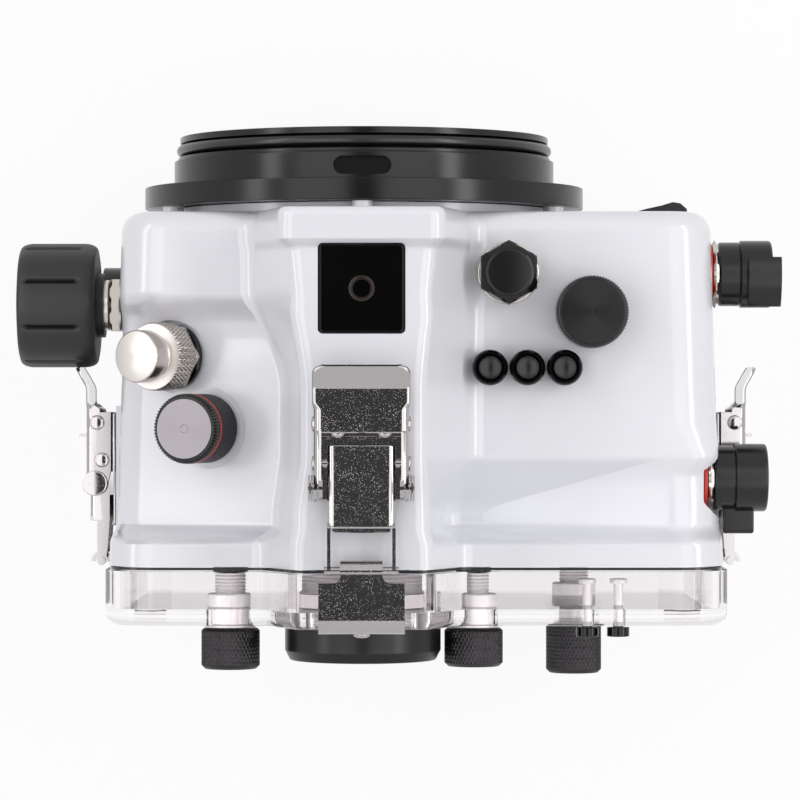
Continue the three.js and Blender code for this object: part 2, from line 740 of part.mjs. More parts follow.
function frontShell() {
  const bosses = SHELL_SEATS.filter(({ boss }) => boss).map(({ place, boss }) => onSeat(
    post(boss, -bossDepth, 0), place));
  const spots = SHELL_SEATS.filter(({ face }) => face).map(({ place, face }) => onSeat(
    post(face + SEAT_GAP, 0, 2 * bossDepth), place));
  const holes = SHELL_SEATS.map(({ place, hole, sides = SIDES_HIDDEN }) => onSeat(
    post(hole + SEAT_GAP, -bossDepth - OVERRUN, OVERRUN, sides), place));
  const portAxis = seat(0, FRONT_Y, PORT_Z, FORWARD);
  const outside = join(
    shellOutside(), crossbar(), ...portPosts(),
    latchPad(leftWallX(FRONT_Y) + WALL / 2, RIM_LEFT_X),
    latchPad(rightWallX(FRONT_Y) - WALL / 2, RIM_RIGHT_X),
    onSeat(post(NECK_R, -WALL, FLANGE_REAR_Y - SEAT_GAP - FRONT_Y, SIDES_PORT), portAxis),
  );
  const pocket = standing(
    squareOutline(PLATE_HALF + SEAT_GAP, plateFrontY + SEAT_GAP, PLATE_REAR_Y - SEAT_GAP, PLATE_CORNER_R),
    plateTopZ - PLATE_T - SEAT_GAP, SPINE_Z + OVERRUN,
  );
  const bore = onSeat(
    post(PORT_BORE_R, -WALL - OVERRUN, OVERRUN + FLANGE_REAR_Y - FRONT_Y, SIDES_PORT), portAxis);
  return cut(join(cut(outside, shellInside(), pocket), ...bosses), ...spots, ...holes, bore);
}

function portRing() {
  const cylinderEnd = FLANGE_T + CYLINDER_L;
  const grooveStart = cylinderEnd + LAND_L;
  const grooveEnd = grooveStart + GROOVE_L;
  const top = grooveEnd + LIP_L;
  const ring = turned([
    [PORT_BORE_R, 0], [FLANGE_R, 0], [FLANGE_R, FLANGE_T], [CYLINDER_R, FLANGE_T],
    [CYLINDER_R, cylinderEnd], [LAND_R, cylinderEnd],
    [LAND_R, grooveStart], [GROOVE_R, grooveStart], [GROOVE_R, grooveEnd], [LIP_R, grooveEnd],
    [LIP_R, top - PORT_CHAMFER], [LIP_R - PORT_CHAMFER, top], [PORT_BORE_R + PORT_CHAMFER, top],
    [PORT_BORE_R, top - PORT_CHAMFER], [PORT_BORE_R, 0],
  ], SIDES_PORT);
  const reach = (KEYWAY_L - KEYWAY_W) / 2;
  const slot = standing([
    ...arc(reach, 0, KEYWAY_W / 2, -90, 90, 5), ...arc(-reach, 0, KEYWAY_W / 2, 90, 270, 5),
  ], CYLINDER_R - KEYWAY_DEPTH, CYLINDER_R + OVERRUN);
  const placed = onSeat(ring, seat(0, FLANGE_REAR_Y, PORT_Z, FORWARD));
  return cut(placed, slot.translate(0, FLANGE_REAR_Y + FLANGE_T + CYLINDER_L / 2, PORT_Z));
}

function portCord() {
  const y = FLANGE_REAR_Y + FLANGE_T + CYLINDER_L + LAND_L + GROOVE_L / 2;
  const cord = new THREE.TorusGeometry(CORD_RING_R, CORD_R, SIDES_PIN, SIDES_PORT);
  return cord.rotateX(Math.PI / 2).translate(0, y, PORT_Z);
}

function accessoryPlate() {
  const outline = squareOutline(PLATE_HALF, plateFrontY, PLATE_REAR_Y, PLATE_CORNER_R);
  const shrunk = squareOutline(
    PLATE_HALF - PLATE_BEVEL, plateFrontY - PLATE_BEVEL, PLATE_REAR_Y + PLATE_BEVEL, PLATE_CORNER_R);
  const body = new THREE.ExtrudeGeometry(shapeOf(shrunk), {
    depth: PLATE_T - 2 * PLATE_BEVEL, bevelSize: PLATE_BEVEL, bevelThickness: PLATE_BEVEL, bevelSegments: 1,
  }).translate(0, 0, plateTopZ - PLATE_T + PLATE_BEVEL);
  const middleY = (outline[0][1] + outline.at(-1)[1]) / 2;
  const mouth = PLATE_HOLE_MOUTH_R - PLATE_HOLE_R;
  const hole = turned([
    [0, -PLATE_T - OVERRUN], [PLATE_HOLE_R, -PLATE_T - OVERRUN], [PLATE_HOLE_R, -mouth],
    [PLATE_HOLE_MOUTH_R, 0], [PLATE_HOLE_MOUTH_R, OVERRUN], [0, OVERRUN],
  ]).translate(0, middleY, plateTopZ);
  return cut(body, hole);
}

// The clear back: the rim's outline standing slightly proud, hollow towards the shell
const backSection = (inset, steps = ARC_STEPS) => shellSection(JOINT_Y, rimForm, inset - BACK_PROUD, steps);

function clearBack() {
  const edge = Array.from({ length: ARC_STEPS + 1 }, (_, i) => {
    const angle = (Math.PI / 2) * (i / ARC_STEPS);
    return {
      y: backOuterY + BACK_EDGE_R * (1 - Math.sin(angle)),
      outline: backSection(BACK_EDGE_R * (1 - Math.cos(angle))),
    };
  });
  const body = loft([{ y: backInnerY, outline: backSection(0) }, ...edge]);
  const hollow = loft([
    { y: backInnerY + OVERRUN, outline: backSection(BACK_WALL, INNER_ARC_STEPS) },
    { y: backOuterY + BACK_PLATE_T, outline: backSection(BACK_WALL, INNER_ARC_STEPS) },
  ]);
  const through = -BACK_PLATE_T - OVERRUN;
  const holes = [
    onSeat(post(EYE_BARREL_R + SEAT_GAP, through, OVERRUN, SIDES_LARGE), backSeat(0, EYE_Z)),
    ...BACK_KNOBS.map(({ x, z }) => onSeat(
      post(BACK_GLAND_R + SEAT_GAP, through, OVERRUN), backSeat(x, z))),
    ...Array.from({ length: BACK_BUTTON_COUNT }, (_, i) => onSeat(
      post(BACK_BUTTON_STEM_R + RUN_GAP, through, OVERRUN, SIDES_HIDDEN), backButtonSeat(i))),
  ];
  return cut(body, hollow, ...holes);
}
const BACK_KNOBS = [
  { name: 'a', x: KNOB_A_X, z: KNOB_A_Z, length: KNOB_A_L },
  { name: 'b', x: KNOB_B_X, z: KNOB_B_Z, length: KNOB_B_L },
  { name: 'c', x: KNOB_C_X, z: KNOB_C_Z, length: KNOB_C_L },
];

function backSeal() {
  const inset = (WALL - SEAL_W) / 2;
  const sealSection = (depth) => shellSection(JOINT_Y, rimForm, depth);
  const front = JOINT_Y - SEAT_GAP;
  const ring = loft([
    { y: front, outline: sealSection(inset) }, { y: front - SEAL_T, outline: sealSection(inset) },
  ]);
  const hole = loft([
    { y: front + OVERRUN, outline: sealSection(inset + SEAL_W) },
    { y: front - SEAL_T - OVERRUN, outline: sealSection(inset + SEAL_W) },
  ]);
  return cut(ring, hole);
}

// Eyepiece, built on the rear face: z counts outwards from it
function eyepiece(group) {
  const inner = -EYE_BARREL_REACH - BACK_PLATE_T + SEAT_GAP;
  const ringEnd = SEAT_GAP + EYE_RING_L;
  const lipStart = ringEnd - EYE_LIP_T;
  const lensRear = lipStart - SEAT_GAP;
  const barrelEnd = lensRear - EYE_LENS_T - SEAT_GAP;
  const nutFront = -BACK_PLATE_T - SEAT_GAP;
  add(group, 'eyepiece_barrel', turned([
    [EYE_BORE_R, inner], [EYE_BARREL_R, inner], [EYE_BARREL_R, nutFront - EYE_NUT_T],
    [EYE_NUT_R, nutFront - EYE_NUT_T], [EYE_NUT_R, nutFront], [EYE_BARREL_R, nutFront],
    [EYE_BARREL_R, barrelEnd], [EYE_BORE_R, barrelEnd], [EYE_BORE_R, inner],
  ], SIDES_LARGE), blackPlastic());
  const ringBore = EYE_BARREL_R + SEAT_GAP;
  add(group, 'eyepiece_ring', turned([
    [ringBore, SEAT_GAP], [EYE_RING_R, SEAT_GAP], [EYE_RING_R, ringEnd - EYE_RING_CHAMFER],
    [EYE_RING_R - EYE_RING_CHAMFER / 2, ringEnd], [ringBore - EYE_LIP_W, ringEnd],
    [ringBore - EYE_LIP_W, lipStart], [ringBore, lipStart], [ringBore, SEAT_GAP],
  ], SIDES_LARGE), blackPlastic());
  const dome = EYE_LENS_T / 3;
  add(group, 'eyepiece_lens', turned([
    [0, lensRear - EYE_LENS_T], [EYE_BARREL_R, lensRear - EYE_LENS_T], [EYE_BARREL_R, lensRear - dome],
    [ringBore - EYE_LIP_W, lensRear - dome / 2], [EYE_BORE_R / 2, lensRear], [0, lensRear],
  ], SIDES_LARGE), lensGlass());
}

// A sealed gland: what shows outside, and a bored sleeve through the wall
function gland(head, sleeveR, boreR, depth) {
  const sleeve = post(sleeveR, -depth, head.high, SIDES_HIDDEN);
  const body = join(post(head.radius, head.low, head.high, head.sides ?? SIDES, head.turn ?? 0), sleeve);
  return cut(body, post(boreR, -depth - OVERRUN, head.high + OVERRUN, SIDES_HIDDEN));
}
const shellGlandDepth = bossDepth + SLEEVE_INNER;
const deckGlandDepth = WALL + SLEEVE_INNER;
const shaftBore = SHAFT_R + RUN_GAP;

function sealRing(radius, boreR, low, high) {
  return turned([[boreR, low], [radius, low], [radius, high], [boreR, high], [boreR, low]]);
}

function nickelGland(group, name, thick) {
  const sealEnd = SEAT_GAP + RED_SEAL_T;
  add(group, `${name}_seal`, sealRing(RED_SEAL_R, SLEEVE_R + SEAT_GAP, SEAT_GAP, sealEnd), redRubber());
  const head = {
    radius: NICKEL_HEX_R, low: sealEnd + SEAT_GAP, high: sealEnd + SEAT_GAP + thick, sides: 6,
  };
  add(group, `${name}_gland`, gland(head, SLEEVE_R, shaftBore, shellGlandDepth), nickel());
  return head.high;
}

function gearOutline(radius, teeth, depth) {
  const outline = [];
  for (let i = 0; i < teeth; i += 1) {
    const step = 360 / teeth;
    const start = step * i;
    const [rise, fall] = TOOTH_TIP_SHARES;
    outline.push(...arc(0, 0, radius - depth, start, start + step * TOOTH_ROOT_SHARE, 1));
    outline.push(...arc(0, 0, radius, start + step * rise, start + step * fall, 1));
  }
  return outline;
}

// The fluted grip: broad round lobes with narrow grooves between them
function lobedOutline(radius, lobes, depth) {
  const outline = [];
  const step = 360 / lobes;
  const half = step * ZOOM_GROOVE_HALF_SHARE;
  for (let i = 0; i < lobes; i += 1) {
    const groove = step * (i + 0.5);
    outline.push(...arc(0, 0, radius - depth, groove, groove, 1).slice(1));
    outline.push(...arc(0, 0, radius, groove + half, groove + step - half, LOBE_STEPS));
  }
  return outline;
}

function zoomControl(group) {
  const glandEnd = nickelGland(group, 'zoom', NICKEL_HEX_T);
  const hubStart = glandEnd + RUN_GAP;
  const hubEnd = hubStart + ZOOM_HUB_T;
  const grip = new THREE.ExtrudeGeometry(
    shapeOf(lobedOutline(ZOOM_KNOB_R - ZOOM_EDGE / 2, ZOOM_LOBES, ZOOM_GROOVE_D)), {
      depth: ZOOM_KNOB_L - 2 * ZOOM_EDGE,
      bevelSize: ZOOM_EDGE / 2,
      bevelThickness: ZOOM_EDGE,
      bevelSegments: 2,
    }).translate(0, 0, hubEnd + ZOOM_EDGE);
  const gearEnd = -shellGlandDepth - RUN_GAP;
  const teeth = gearOutline(ZOOM_GEAR_R, ZOOM_GEAR_TEETH, ZOOM_TOOTH_D);
  const gear = standing(teeth, gearEnd - ZOOM_GEAR_T, gearEnd);
  add(group, 'zoom_knob', join(
    grip, post(ZOOM_HUB_R, hubStart, hubEnd + ZOOM_EDGE), gear,
    post(SHAFT_R, gearEnd - ZOOM_GEAR_T / 2, hubEnd, SIDES_HIDDEN),
  ), blackRubber());
}

// An arm on the inner end of a shaft, and a tab on the outer hub
function innerArm(end) {
  return join(
    post(ARM_W / 2, end - ARM_T, end, SIDES_HIDDEN),
    block(-ARM_W / 2, ARM_W / 2, -ARM_L, 0, end - ARM_T, end),
  );
}

function focusControl(group) {
  const hubStart = SEAT_GAP;
  const end = -WALL - SEAT_PROUD - 2 * RUN_GAP;
  const tab = block(
    -FOCUS_TAB_W / 2, FOCUS_TAB_W / 2, 0, FOCUS_TAB_REACH,
    hubStart + FOCUS_HUB_L - FOCUS_TAB_T, hubStart + FOCUS_HUB_L,
  ).rotateZ(Math.PI / 2);
  add(group, 'focus_lever', join(
    post(FOCUS_HUB_R, hubStart, hubStart + FOCUS_HUB_L), tab,
    post(SLEEVE_R - RUN_GAP, end - ARM_T / 2, hubStart + ARM_T, SIDES_HIDDEN), innerArm(end),
  ), blackPlastic());
}

function strobeConnector(group) {
  const baseEnd = SEAT_GAP + STROBE_BASE_T;
  const noseEnd = baseEnd + STROBE_NOSE_L;
  add(group, 'strobe_connector', cut(
    join(
      post(STROBE_BASE_R, SEAT_GAP, baseEnd), post(SLEEVE_R, -shellGlandDepth, baseEnd, SIDES_HIDDEN),
      post(STROBE_NOSE_R, SEAT_GAP, noseEnd),
    ),
    post(STROBE_SOCKET_R, noseEnd - STROBE_SOCKET_D, noseEnd + OVERRUN),
  ), blackPlastic());
  const skirt = baseEnd + RUN_GAP;
  const roof = skirt + CAP_L;
  const bore = STROBE_NOSE_R + RUN_GAP;
  const hexEnd = skirt + CAP_HEX_L;
  const discStart = roof + CAP_NECK_L;
  const hexFoot = cut(post(CAP_R, skirt, hexEnd, 6), post(bore, skirt - OVERRUN, hexEnd + OVERRUN));
  add(group, 'strobe_cap', join(hexFoot, turned([
    [bore, hexEnd - CAP_CHAMFER], [CAP_R - CAP_CHAMFER, hexEnd - CAP_CHAMFER], [CAP_R, hexEnd],
    [CAP_R, roof - CAP_CHAMFER], [CAP_R - CAP_CHAMFER, roof], [CAP_NECK_R, roof], [CAP_NECK_R, discStart],
    [CAP_DISC_R, discStart], [CAP_DISC_R, discStart + CAP_DISC_T - CAP_CHAMFER],
    [CAP_DISC_R - CAP_CHAMFER, discStart + CAP_DISC_T], [0, discStart + CAP_DISC_T],
    [0, roof - CAP_ROOF_T], [bore, roof - CAP_ROOF_T], [bore, hexEnd - CAP_CHAMFER],
  ])), nickel());
}

// A flush gland that a knob hides
function hiddenGland(group, name, radius, depth) {
  const head = { radius, low: SEAT_GAP, high: SEAT_GAP + WASHER_T };
  add(group, `${name}_gland`, gland(head, SLEEVE_R, shaftBore, depth), nickel());
  return head.high + RUN_GAP;
}

function modeControl(group) {
  const start = hiddenGland(group, 'mode', MODE_R - WALL / 2, shellGlandDepth);
  const end = start + MODE_L;
  const groove = start + MODE_RING_H;
  const inner = -shellGlandDepth - RUN_GAP;
  const cupR = MODE_CUP_R - WALL / 2;
  const knob = turned([
    [0, inner - WALL / 2], [cupR, inner - WALL / 2],
    [cupR, inner - MODE_CUP_L], [MODE_CUP_R, inner - MODE_CUP_L],
    [MODE_CUP_R, inner], [SHAFT_R, inner], [SHAFT_R, start], [MODE_R - CAP_CHAMFER, start],
    [MODE_R, start + CAP_CHAMFER], [MODE_R, groove], [MODE_R - MODE_GROOVE_D, groove],
    [MODE_R - MODE_GROOVE_D, groove + MODE_GROOVE_W], [MODE_R, groove + MODE_GROOVE_W],
    [MODE_R, end - CAP_CHAMFER], [MODE_R - CAP_CHAMFER, end], [0, end],
  ]);
  add(group, 'mode_knob', knob, blackPlastic());
  const middle = groove + MODE_GROOVE_W / 2;
  add(group, 'mode_knob_ring', sealRing(
    MODE_RING_R, MODE_R - MODE_GROOVE_D + SEAT_GAP, middle - MODE_RING_W / 2, middle + MODE_RING_W / 2,
  ), redRubber());
}

function accessoryPlug(group) {
  const washerEnd = SEAT_GAP + WASHER_T;
  add(group, 'plug_washer', sealRing(WASHER_R, SLEEVE_R + SEAT_GAP, SEAT_GAP, washerEnd), nickel());
  const start = washerEnd + SEAT_GAP;
  const end = start + PLUG_L;
  const dome = new THREE.CylinderGeometry(PLUG_R - PLUG_DOME * 2, PLUG_R, PLUG_DOME, 6)
    .rotateX(Math.PI / 2).translate(0, 0, end - PLUG_DOME / 2);
  add(group, 'accessory_plug', join(
    post(PLUG_R, start, end - PLUG_DOME, 6), dome,
    post(SLEEVE_R, -deckGlandDepth, start + PLUG_DOME, SIDES_HIDDEN),
  ), blackPlastic());
}

function dialControl(group) {
  const start = hiddenGland(group, 'dial', DIAL_R - WALL / 2, deckGlandDepth);
  const end = start + DIAL_L;
  const inner = -deckGlandDepth - RUN_GAP;
  add(group, 'dial_knob', turned([
    [0, inner - BACK_WHEEL_T], [BACK_WHEEL_R, inner - BACK_WHEEL_T], [BACK_WHEEL_R, inner],
    [SHAFT_R, inner], [SHAFT_R, start], [DIAL_R - CAP_CHAMFER, start], [DIAL_R, start + CAP_CHAMFER],
    [DIAL_R, end - DIAL_EDGE], [DIAL_R - DIAL_EDGE, end], [0, end],
  ]), blackPlastic());
}

function topButton(group, i) {
  const head = SEAT_GAP + COLLAR_L;
  const bore = BUTTON_R + RUN_GAP;
  const floor = SEAT_GAP + COLLAR_WALL;
  const rodBore = BUTTON_ROD_R + RUN_GAP;
  const depth = deckGlandDepth;
  add(group, `button_collar_${i + 1}`, turned([
    [rodBore, -depth], [COLLAR_SLEEVE_R, -depth], [COLLAR_SLEEVE_R, SEAT_GAP], [COLLAR_R, SEAT_GAP],
    [COLLAR_R, head - CAP_CHAMFER], [COLLAR_R - CAP_CHAMFER, head], [bore, head],
    [bore, floor], [rodBore, floor], [rodBore, -depth],
  ]), blackPlastic());
  const top = head + BUTTON_PROUD;
  const shoulder = floor + BUTTON_TRAVEL + SEAT_GAP;
  const rodEnd = -depth - BUTTON_REACH;
  add(group, `top_button_${i + 1}`, turned([
    [0, rodEnd], [BUTTON_ROD_R, rodEnd], [BUTTON_ROD_R, shoulder], [BUTTON_R, shoulder], [BUTTON_R, top],
    [BUTTON_R - COLLAR_WALL / 2, top], [BUTTON_R / 2, top - BUTTON_DISH], [0, top - BUTTON_DISH],
  ]), blackPlastic());
}

// The hub of a side lever: a collar, a shadow groove, then the cap that the finger moves
function leverHub(start) {
  const collarEnd = start + LEVER_COLLAR_L;
  const capStart = collarEnd + LEVER_GROOVE;
  return { capStart, capEnd: capStart + LEVER_CAP_L, body: turned([
    [0, start], [LEVER_HUB_R, start], [LEVER_HUB_R, collarEnd], [LEVER_HUB_R - LEVER_GROOVE, collarEnd],
    [LEVER_HUB_R - LEVER_GROOVE, capStart], [LEVER_CAP_R, capStart], [LEVER_CAP_R, capStart + LEVER_CAP_L],
    [0, capStart + LEVER_CAP_L],
  ]) };
}

function shutterControl(group) {
  const start = nickelGland(group, 'shutter', LEVER_HEX_T) + RUN_GAP;
  const hub = leverHub(start);
  const end = -shellGlandDepth - RUN_GAP;
  const outer = LEVER_CAP_R + PAD_T;
  const pad = standing([
    ...arc(0, 0, outer, PAD_FROM, PAD_TO, 8), ...arc(0, 0, LEVER_CAP_R - PAD_T, PAD_TO, PAD_FROM, 8),
  ], hub.capEnd - LEVER_CAP_L * PAD_BACK_SHARE, hub.capEnd + PAD_PROUD).rotateZ(Math.PI);
  add(group, 'shutter_lever', join(
    hub.body, pad, post(SHAFT_R, end - ARM_T / 2, start + ARM_T, SIDES_HIDDEN),
    innerArm(end).rotateZ(Math.PI / 2),
  ), blackPlastic());
}

function thumbControl(group) {
  const start = nickelGland(group, 'thumb', LEVER_HEX_T) + RUN_GAP;
  const hub = leverHub(start);
  const end = -shellGlandDepth - RUN_GAP;
  const tab = block(
    -TAB_T / 2, TAB_T / 2, -TAB_REACH, 0, hub.capEnd - TAB_BACK - TAB_W, hub.capEnd - TAB_BACK);
  add(group, 'thumb_lever', join(
    hub.body, tab, post(SHAFT_R, end - ARM_T / 2, start + ARM_T, SIDES_HIDDEN), innerArm(end),
  ), blackPlastic());
}

// A low paddle on the front, thick at one end
function frontControl(group) {
  const low = SEAT_GAP;
  const end = -WALL - RUN_GAP;
  const half = FRONT_LEVER_HALF_L;
  const lowT = FRONT_LEVER_T * FRONT_LEVER_LOW_SHARE;
  const side = [
    [-half, low], [half, low],
    ...FRONT_LEVER_SHARES.map(([along, up]) => [half * along, low + FRONT_LEVER_T * up]),
  ];
  const paddle = across(side, -FRONT_LEVER_W / 2, FRONT_LEVER_W / 2).rotateZ(Math.PI / 2);
  add(group, 'front_lever', join(
    paddle, post(FRONT_SHAFT_R, end - ARM_T / 2, low + lowT / 2, SIDES_HIDDEN),
    innerArm(end).rotateZ(Math.PI),
  ), blackPlastic());
}

function backKnob(group, { name, length }) {
  const inner = -BACK_PLATE_T - BACK_GLAND_INNER;
  const head = SEAT_GAP + WASHER_T;
  const bore = BACK_SHAFT_R + RUN_GAP;
  add(group, `back_gland_${name}`, turned([
    [bore, inner], [BACK_GLAND_R, inner], [BACK_GLAND_R, SEAT_GAP], [BACK_KNOB_R - WASHER_T, SEAT_GAP],
    [BACK_KNOB_R - WASHER_T, head], [bore, head], [bore, inner],
  ]), nickel());
  const start = head + RUN_GAP;
  const end = start + length;
  const wheel = inner - RUN_GAP;
  add(group, `back_knob_${name}`, turned([
    [0, wheel - BACK_WHEEL_T], [BACK_WHEEL_R, wheel - BACK_WHEEL_T], [BACK_WHEEL_R, wheel],
    [BACK_SHAFT_R, wheel], [BACK_SHAFT_R, start], [BACK_KNOB_R - CAP_CHAMFER, start],
    [BACK_KNOB_R, start + CAP_CHAMFER], [BACK_KNOB_R, end - BACK_KNOB_EDGE],
    [BACK_KNOB_R - BACK_KNOB_EDGE, end], [0, end],
  ]), blackPlastic());
}

function backButton(group, i) {
  const start = SEAT_GAP + BACK_BUTTON_TRAVEL;
  const end = start + BACK_BUTTON_L;
  const inner = -BACK_PLATE_T - BACK_BUTTON_REACH;
  const footR = BACK_BUTTON_R - BACK_BUTTON_STEM_R / 2;
  const footEnd = inner + BACK_BUTTON_STEM_R;
  add(group, `back_button_${i + 1}`, turned([
    [0, inner], [footR, inner], [footR, footEnd], [BACK_BUTTON_STEM_R, footEnd],
    [BACK_BUTTON_STEM_R, start], [BACK_BUTTON_R, start], [BACK_BUTTON_R, end - CAP_CHAMFER],
    [BACK_BUTTON_R - CAP_CHAMFER, end], [0, end],
  ], SIDES_HIDDEN), blackPlastic());
}

function cameraTray(group) {
  const floor = WALL + SEAT_GAP;
  const low = floor + TRAY_LIFT;
  const top = low + TRAY_T;
  const runner = (x) => block(x, x + TRAY_RUNNER_W, TRAY_REAR_Y, TRAY_FRONT_Y, floor, low + TRAY_T / 2);
  const middleX = (TRAY_LEFT_X + TRAY_RIGHT_X) / 2;
  const middleY = (TRAY_REAR_Y + TRAY_FRONT_Y) / 2;
  const stop = block(
    middleX - TRAY_STOP_L / 2, middleX + TRAY_STOP_L / 2, TRAY_REAR_Y, TRAY_REAR_Y + TRAY_T,
    top - TRAY_T / 2, top + TRAY_STOP_H);
  const hole = post(TRAY_SLOT_R, low - OVERRUN, top + OVERRUN).translate(0, middleY, 0);
  add(group, 'camera_tray', cut(join(
    block(TRAY_LEFT_X, TRAY_RIGHT_X, TRAY_REAR_Y, TRAY_FRONT_Y, low, top),
    runner(TRAY_LEFT_X), runner(TRAY_RIGHT_X - TRAY_RUNNER_W), stop,
  ), hole), blackAnodised());
  const screw = join(
    post(SCREW_HEAD_R, low - SEAT_GAP - SCREW_HEAD_T, low - SEAT_GAP),
    post(SCREW_R, low - SCREW_HEAD_T / 2, low + SCREW_L),
  );
  add(group, 'tray_screw', screw.translate(0, middleY, 0), stainless());
}

// Draw latch. X runs across it, Y along it and Z out from its seat.
const mirrored = (make) => [1, -1].map((side) => make(side));
const inOrder = (a, b) => [Math.min(a, b), Math.max(a, b)];
function plates(points, inner, thick) {
  return mirrored((side) => across(points, ...inOrder(side * inner, side * (inner + thick))));
}
function pins(y, z, radius, inner, outer) {
  return mirrored((side) => pinAcross(y, z, radius, ...inOrder(side * inner, side * outer)));
}
const earIn = LATCH_BASE_HALF - EAR_T;
const leverIn = LATCH_BASE_HALF + EAR_GAP;
const leverOut = leverIn + SHEET;

function latchBase() {
  const plateTop = SEAT_GAP + SHEET;
  const headIn = leverOut + RUN_GAP;
  const headOut = headIn + RIVET_T;
  const ear = [
    [MAIN_Y - EAR_R, SEAT_GAP], [MAIN_Y + EAR_R, SEAT_GAP],
    ...arc(MAIN_Y, MAIN_H, EAR_R, 0, 180, SHEET_ARC_STEPS),
  ];
  const upturn = block(
    -EAR_R, EAR_R, LATCH_BASE_REAR_Y, LATCH_BASE_REAR_Y + SHEET, SEAT_GAP, LINK_LOW_H - RUN_GAP);
  return join(
    block(-LATCH_BASE_HALF, LATCH_BASE_HALF, LATCH_BASE_REAR_Y, LATCH_BASE_FRONT_Y, SEAT_GAP, plateTop),
    ...plates(ear, earIn, EAR_T), upturn,
    ...pins(MAIN_Y, MAIN_H, PIN_R, earIn, headOut), ...pins(MAIN_Y, MAIN_H, RIVET_R, headIn, headOut),
  );
}

// The hand lever: a strip curled out at the tip, between two side plates
function handleCurve(offset) {
  const rise = TIP_H - WEB_H;
  return HANDLE_CURL_SHARES.map(([along, up]) => [
    WEB_FRONT_Y + (TIP_Y - WEB_FRONT_Y) * along - offset * up * HANDLE_LEAN_SHARE,
    WEB_H + rise * up - offset,
  ]);
}

function latchLever() {
  const web = across([
    [WEB_REAR_Y, WEB_H], ...handleCurve(0), ...handleCurve(SHEET).reverse(), [WEB_REAR_Y, WEB_H - SHEET],
  ], -HANDLE_HALF, HANDLE_HALF);
  const beyond = HANDLE_HALF + OVERRUN;
  const trimRear = mirrored((side) => block(
    ...inOrder(side * leverOut, side * beyond),
    WEB_REAR_Y - OVERRUN, LATCH_BASE_FRONT_Y, SEAT_GAP, TIP_H + OVERRUN,
  ));
  const trimTip = mirrored((side) => standing([
    [side * (HANDLE_HALF - TIP_CHAMFER), TIP_Y + OVERRUN], [side * beyond, TIP_Y + OVERRUN],
    [side * beyond, TIP_Y - TIP_CHAMFER - OVERRUN],
    [side * HANDLE_HALF, TIP_Y - TIP_CHAMFER], [side * (HANDLE_HALF - TIP_CHAMFER), TIP_Y],
  ], SEAT_GAP, TIP_H + OVERRUN));
  const side = [
    [LATCH_BASE_FRONT_Y, SIDE_PLATE_LOW_H], [LATCH_BASE_FRONT_Y, WEB_H], [MAIN_Y + SIDE_PLATE_END_R, WEB_H],
    ...arc(MAIN_Y, MAIN_H, SIDE_PLATE_END_R, 60, 240, SHEET_ARC_STEPS),
    [MAIN_Y + SIDE_PLATE_END_R, SIDE_PLATE_LOW_H],
  ];
  const flange = [
    [WEB_REAR_Y, WEB_H - SHEET / 2], ...handleCurve(SHEET / 2).slice(0, 4),
    ...handleCurve(TIP_FLANGE_D).slice(0, 4).reverse(), [WEB_REAR_Y, WEB_H - TIP_FLANGE_D],
  ];
  const hole = pinAcross(MAIN_Y, MAIN_H, PIN_R + RUN_GAP, -leverOut - OVERRUN, leverOut + OVERRUN);
  const linkPin = pinAcross(LINK_Y, LINK_H, LINK_PIN_R, -leverOut - RIVET_T, leverOut + RIVET_T);
  const strip = cut(web, ...trimRear, ...trimTip);
  const lever = join(
    strip, ...plates(side, leverIn, SHEET), ...plates(flange, leverIn, SHEET), linkPin,
    ...pins(LINK_Y, LINK_H, RIVET_R, leverOut - SHEET / 2, leverOut + RIVET_T),
    ...pins(TIE_Y, TIE_H, RIVET_R, leverOut - SHEET / 2, leverOut + RIVET_T),
    ...pins(TIE_Y, TIE_H, TIE_PIN_R, earIn - SEAT_GAP, leverOut),
  );
  return cut(lever, hole);
}

// The link: a flanged plate on the lever's pin, with two arms out to the hook bar
function latchLink() {
  const flange = [
    [LINK_FRONT_Y - SHEET, LINK_LOW_H + SHEET], [LINK_FRONT_Y, LINK_TOP_H], [LINK_REAR_Y, LINK_TOP_H],
    [LINK_REAR_Y, ARM_TOP_H],
    ...arc(HOOK_BAR_Y, HOOK_BAR_H, ARM_TOP_H - HOOK_BAR_H, 90, 270, SHEET_ARC_STEPS),
    [LINK_REAR_Y, LINK_LOW_H], [LINK_Y, LINK_LOW_H],
  ];
  const flangeIn = LINK_HALF - SHEET;
  const web = block(-LINK_HALF, LINK_HALF, LINK_REAR_Y, LINK_FRONT_Y, LINK_TOP_H - SHEET, LINK_TOP_H);
  const bar = pinAcross(HOOK_BAR_Y, HOOK_BAR_H, HOOK_BAR_R, -HOOK_BAR_HALF, HOOK_BAR_HALF);
  const hole = pinAcross(LINK_Y, LINK_H, LINK_PIN_R + RUN_GAP, -LINK_HALF - OVERRUN, LINK_HALF + OVERRUN);
  return cut(join(web, ...plates(flange, flangeIn, SHEET), bar), hole);
}

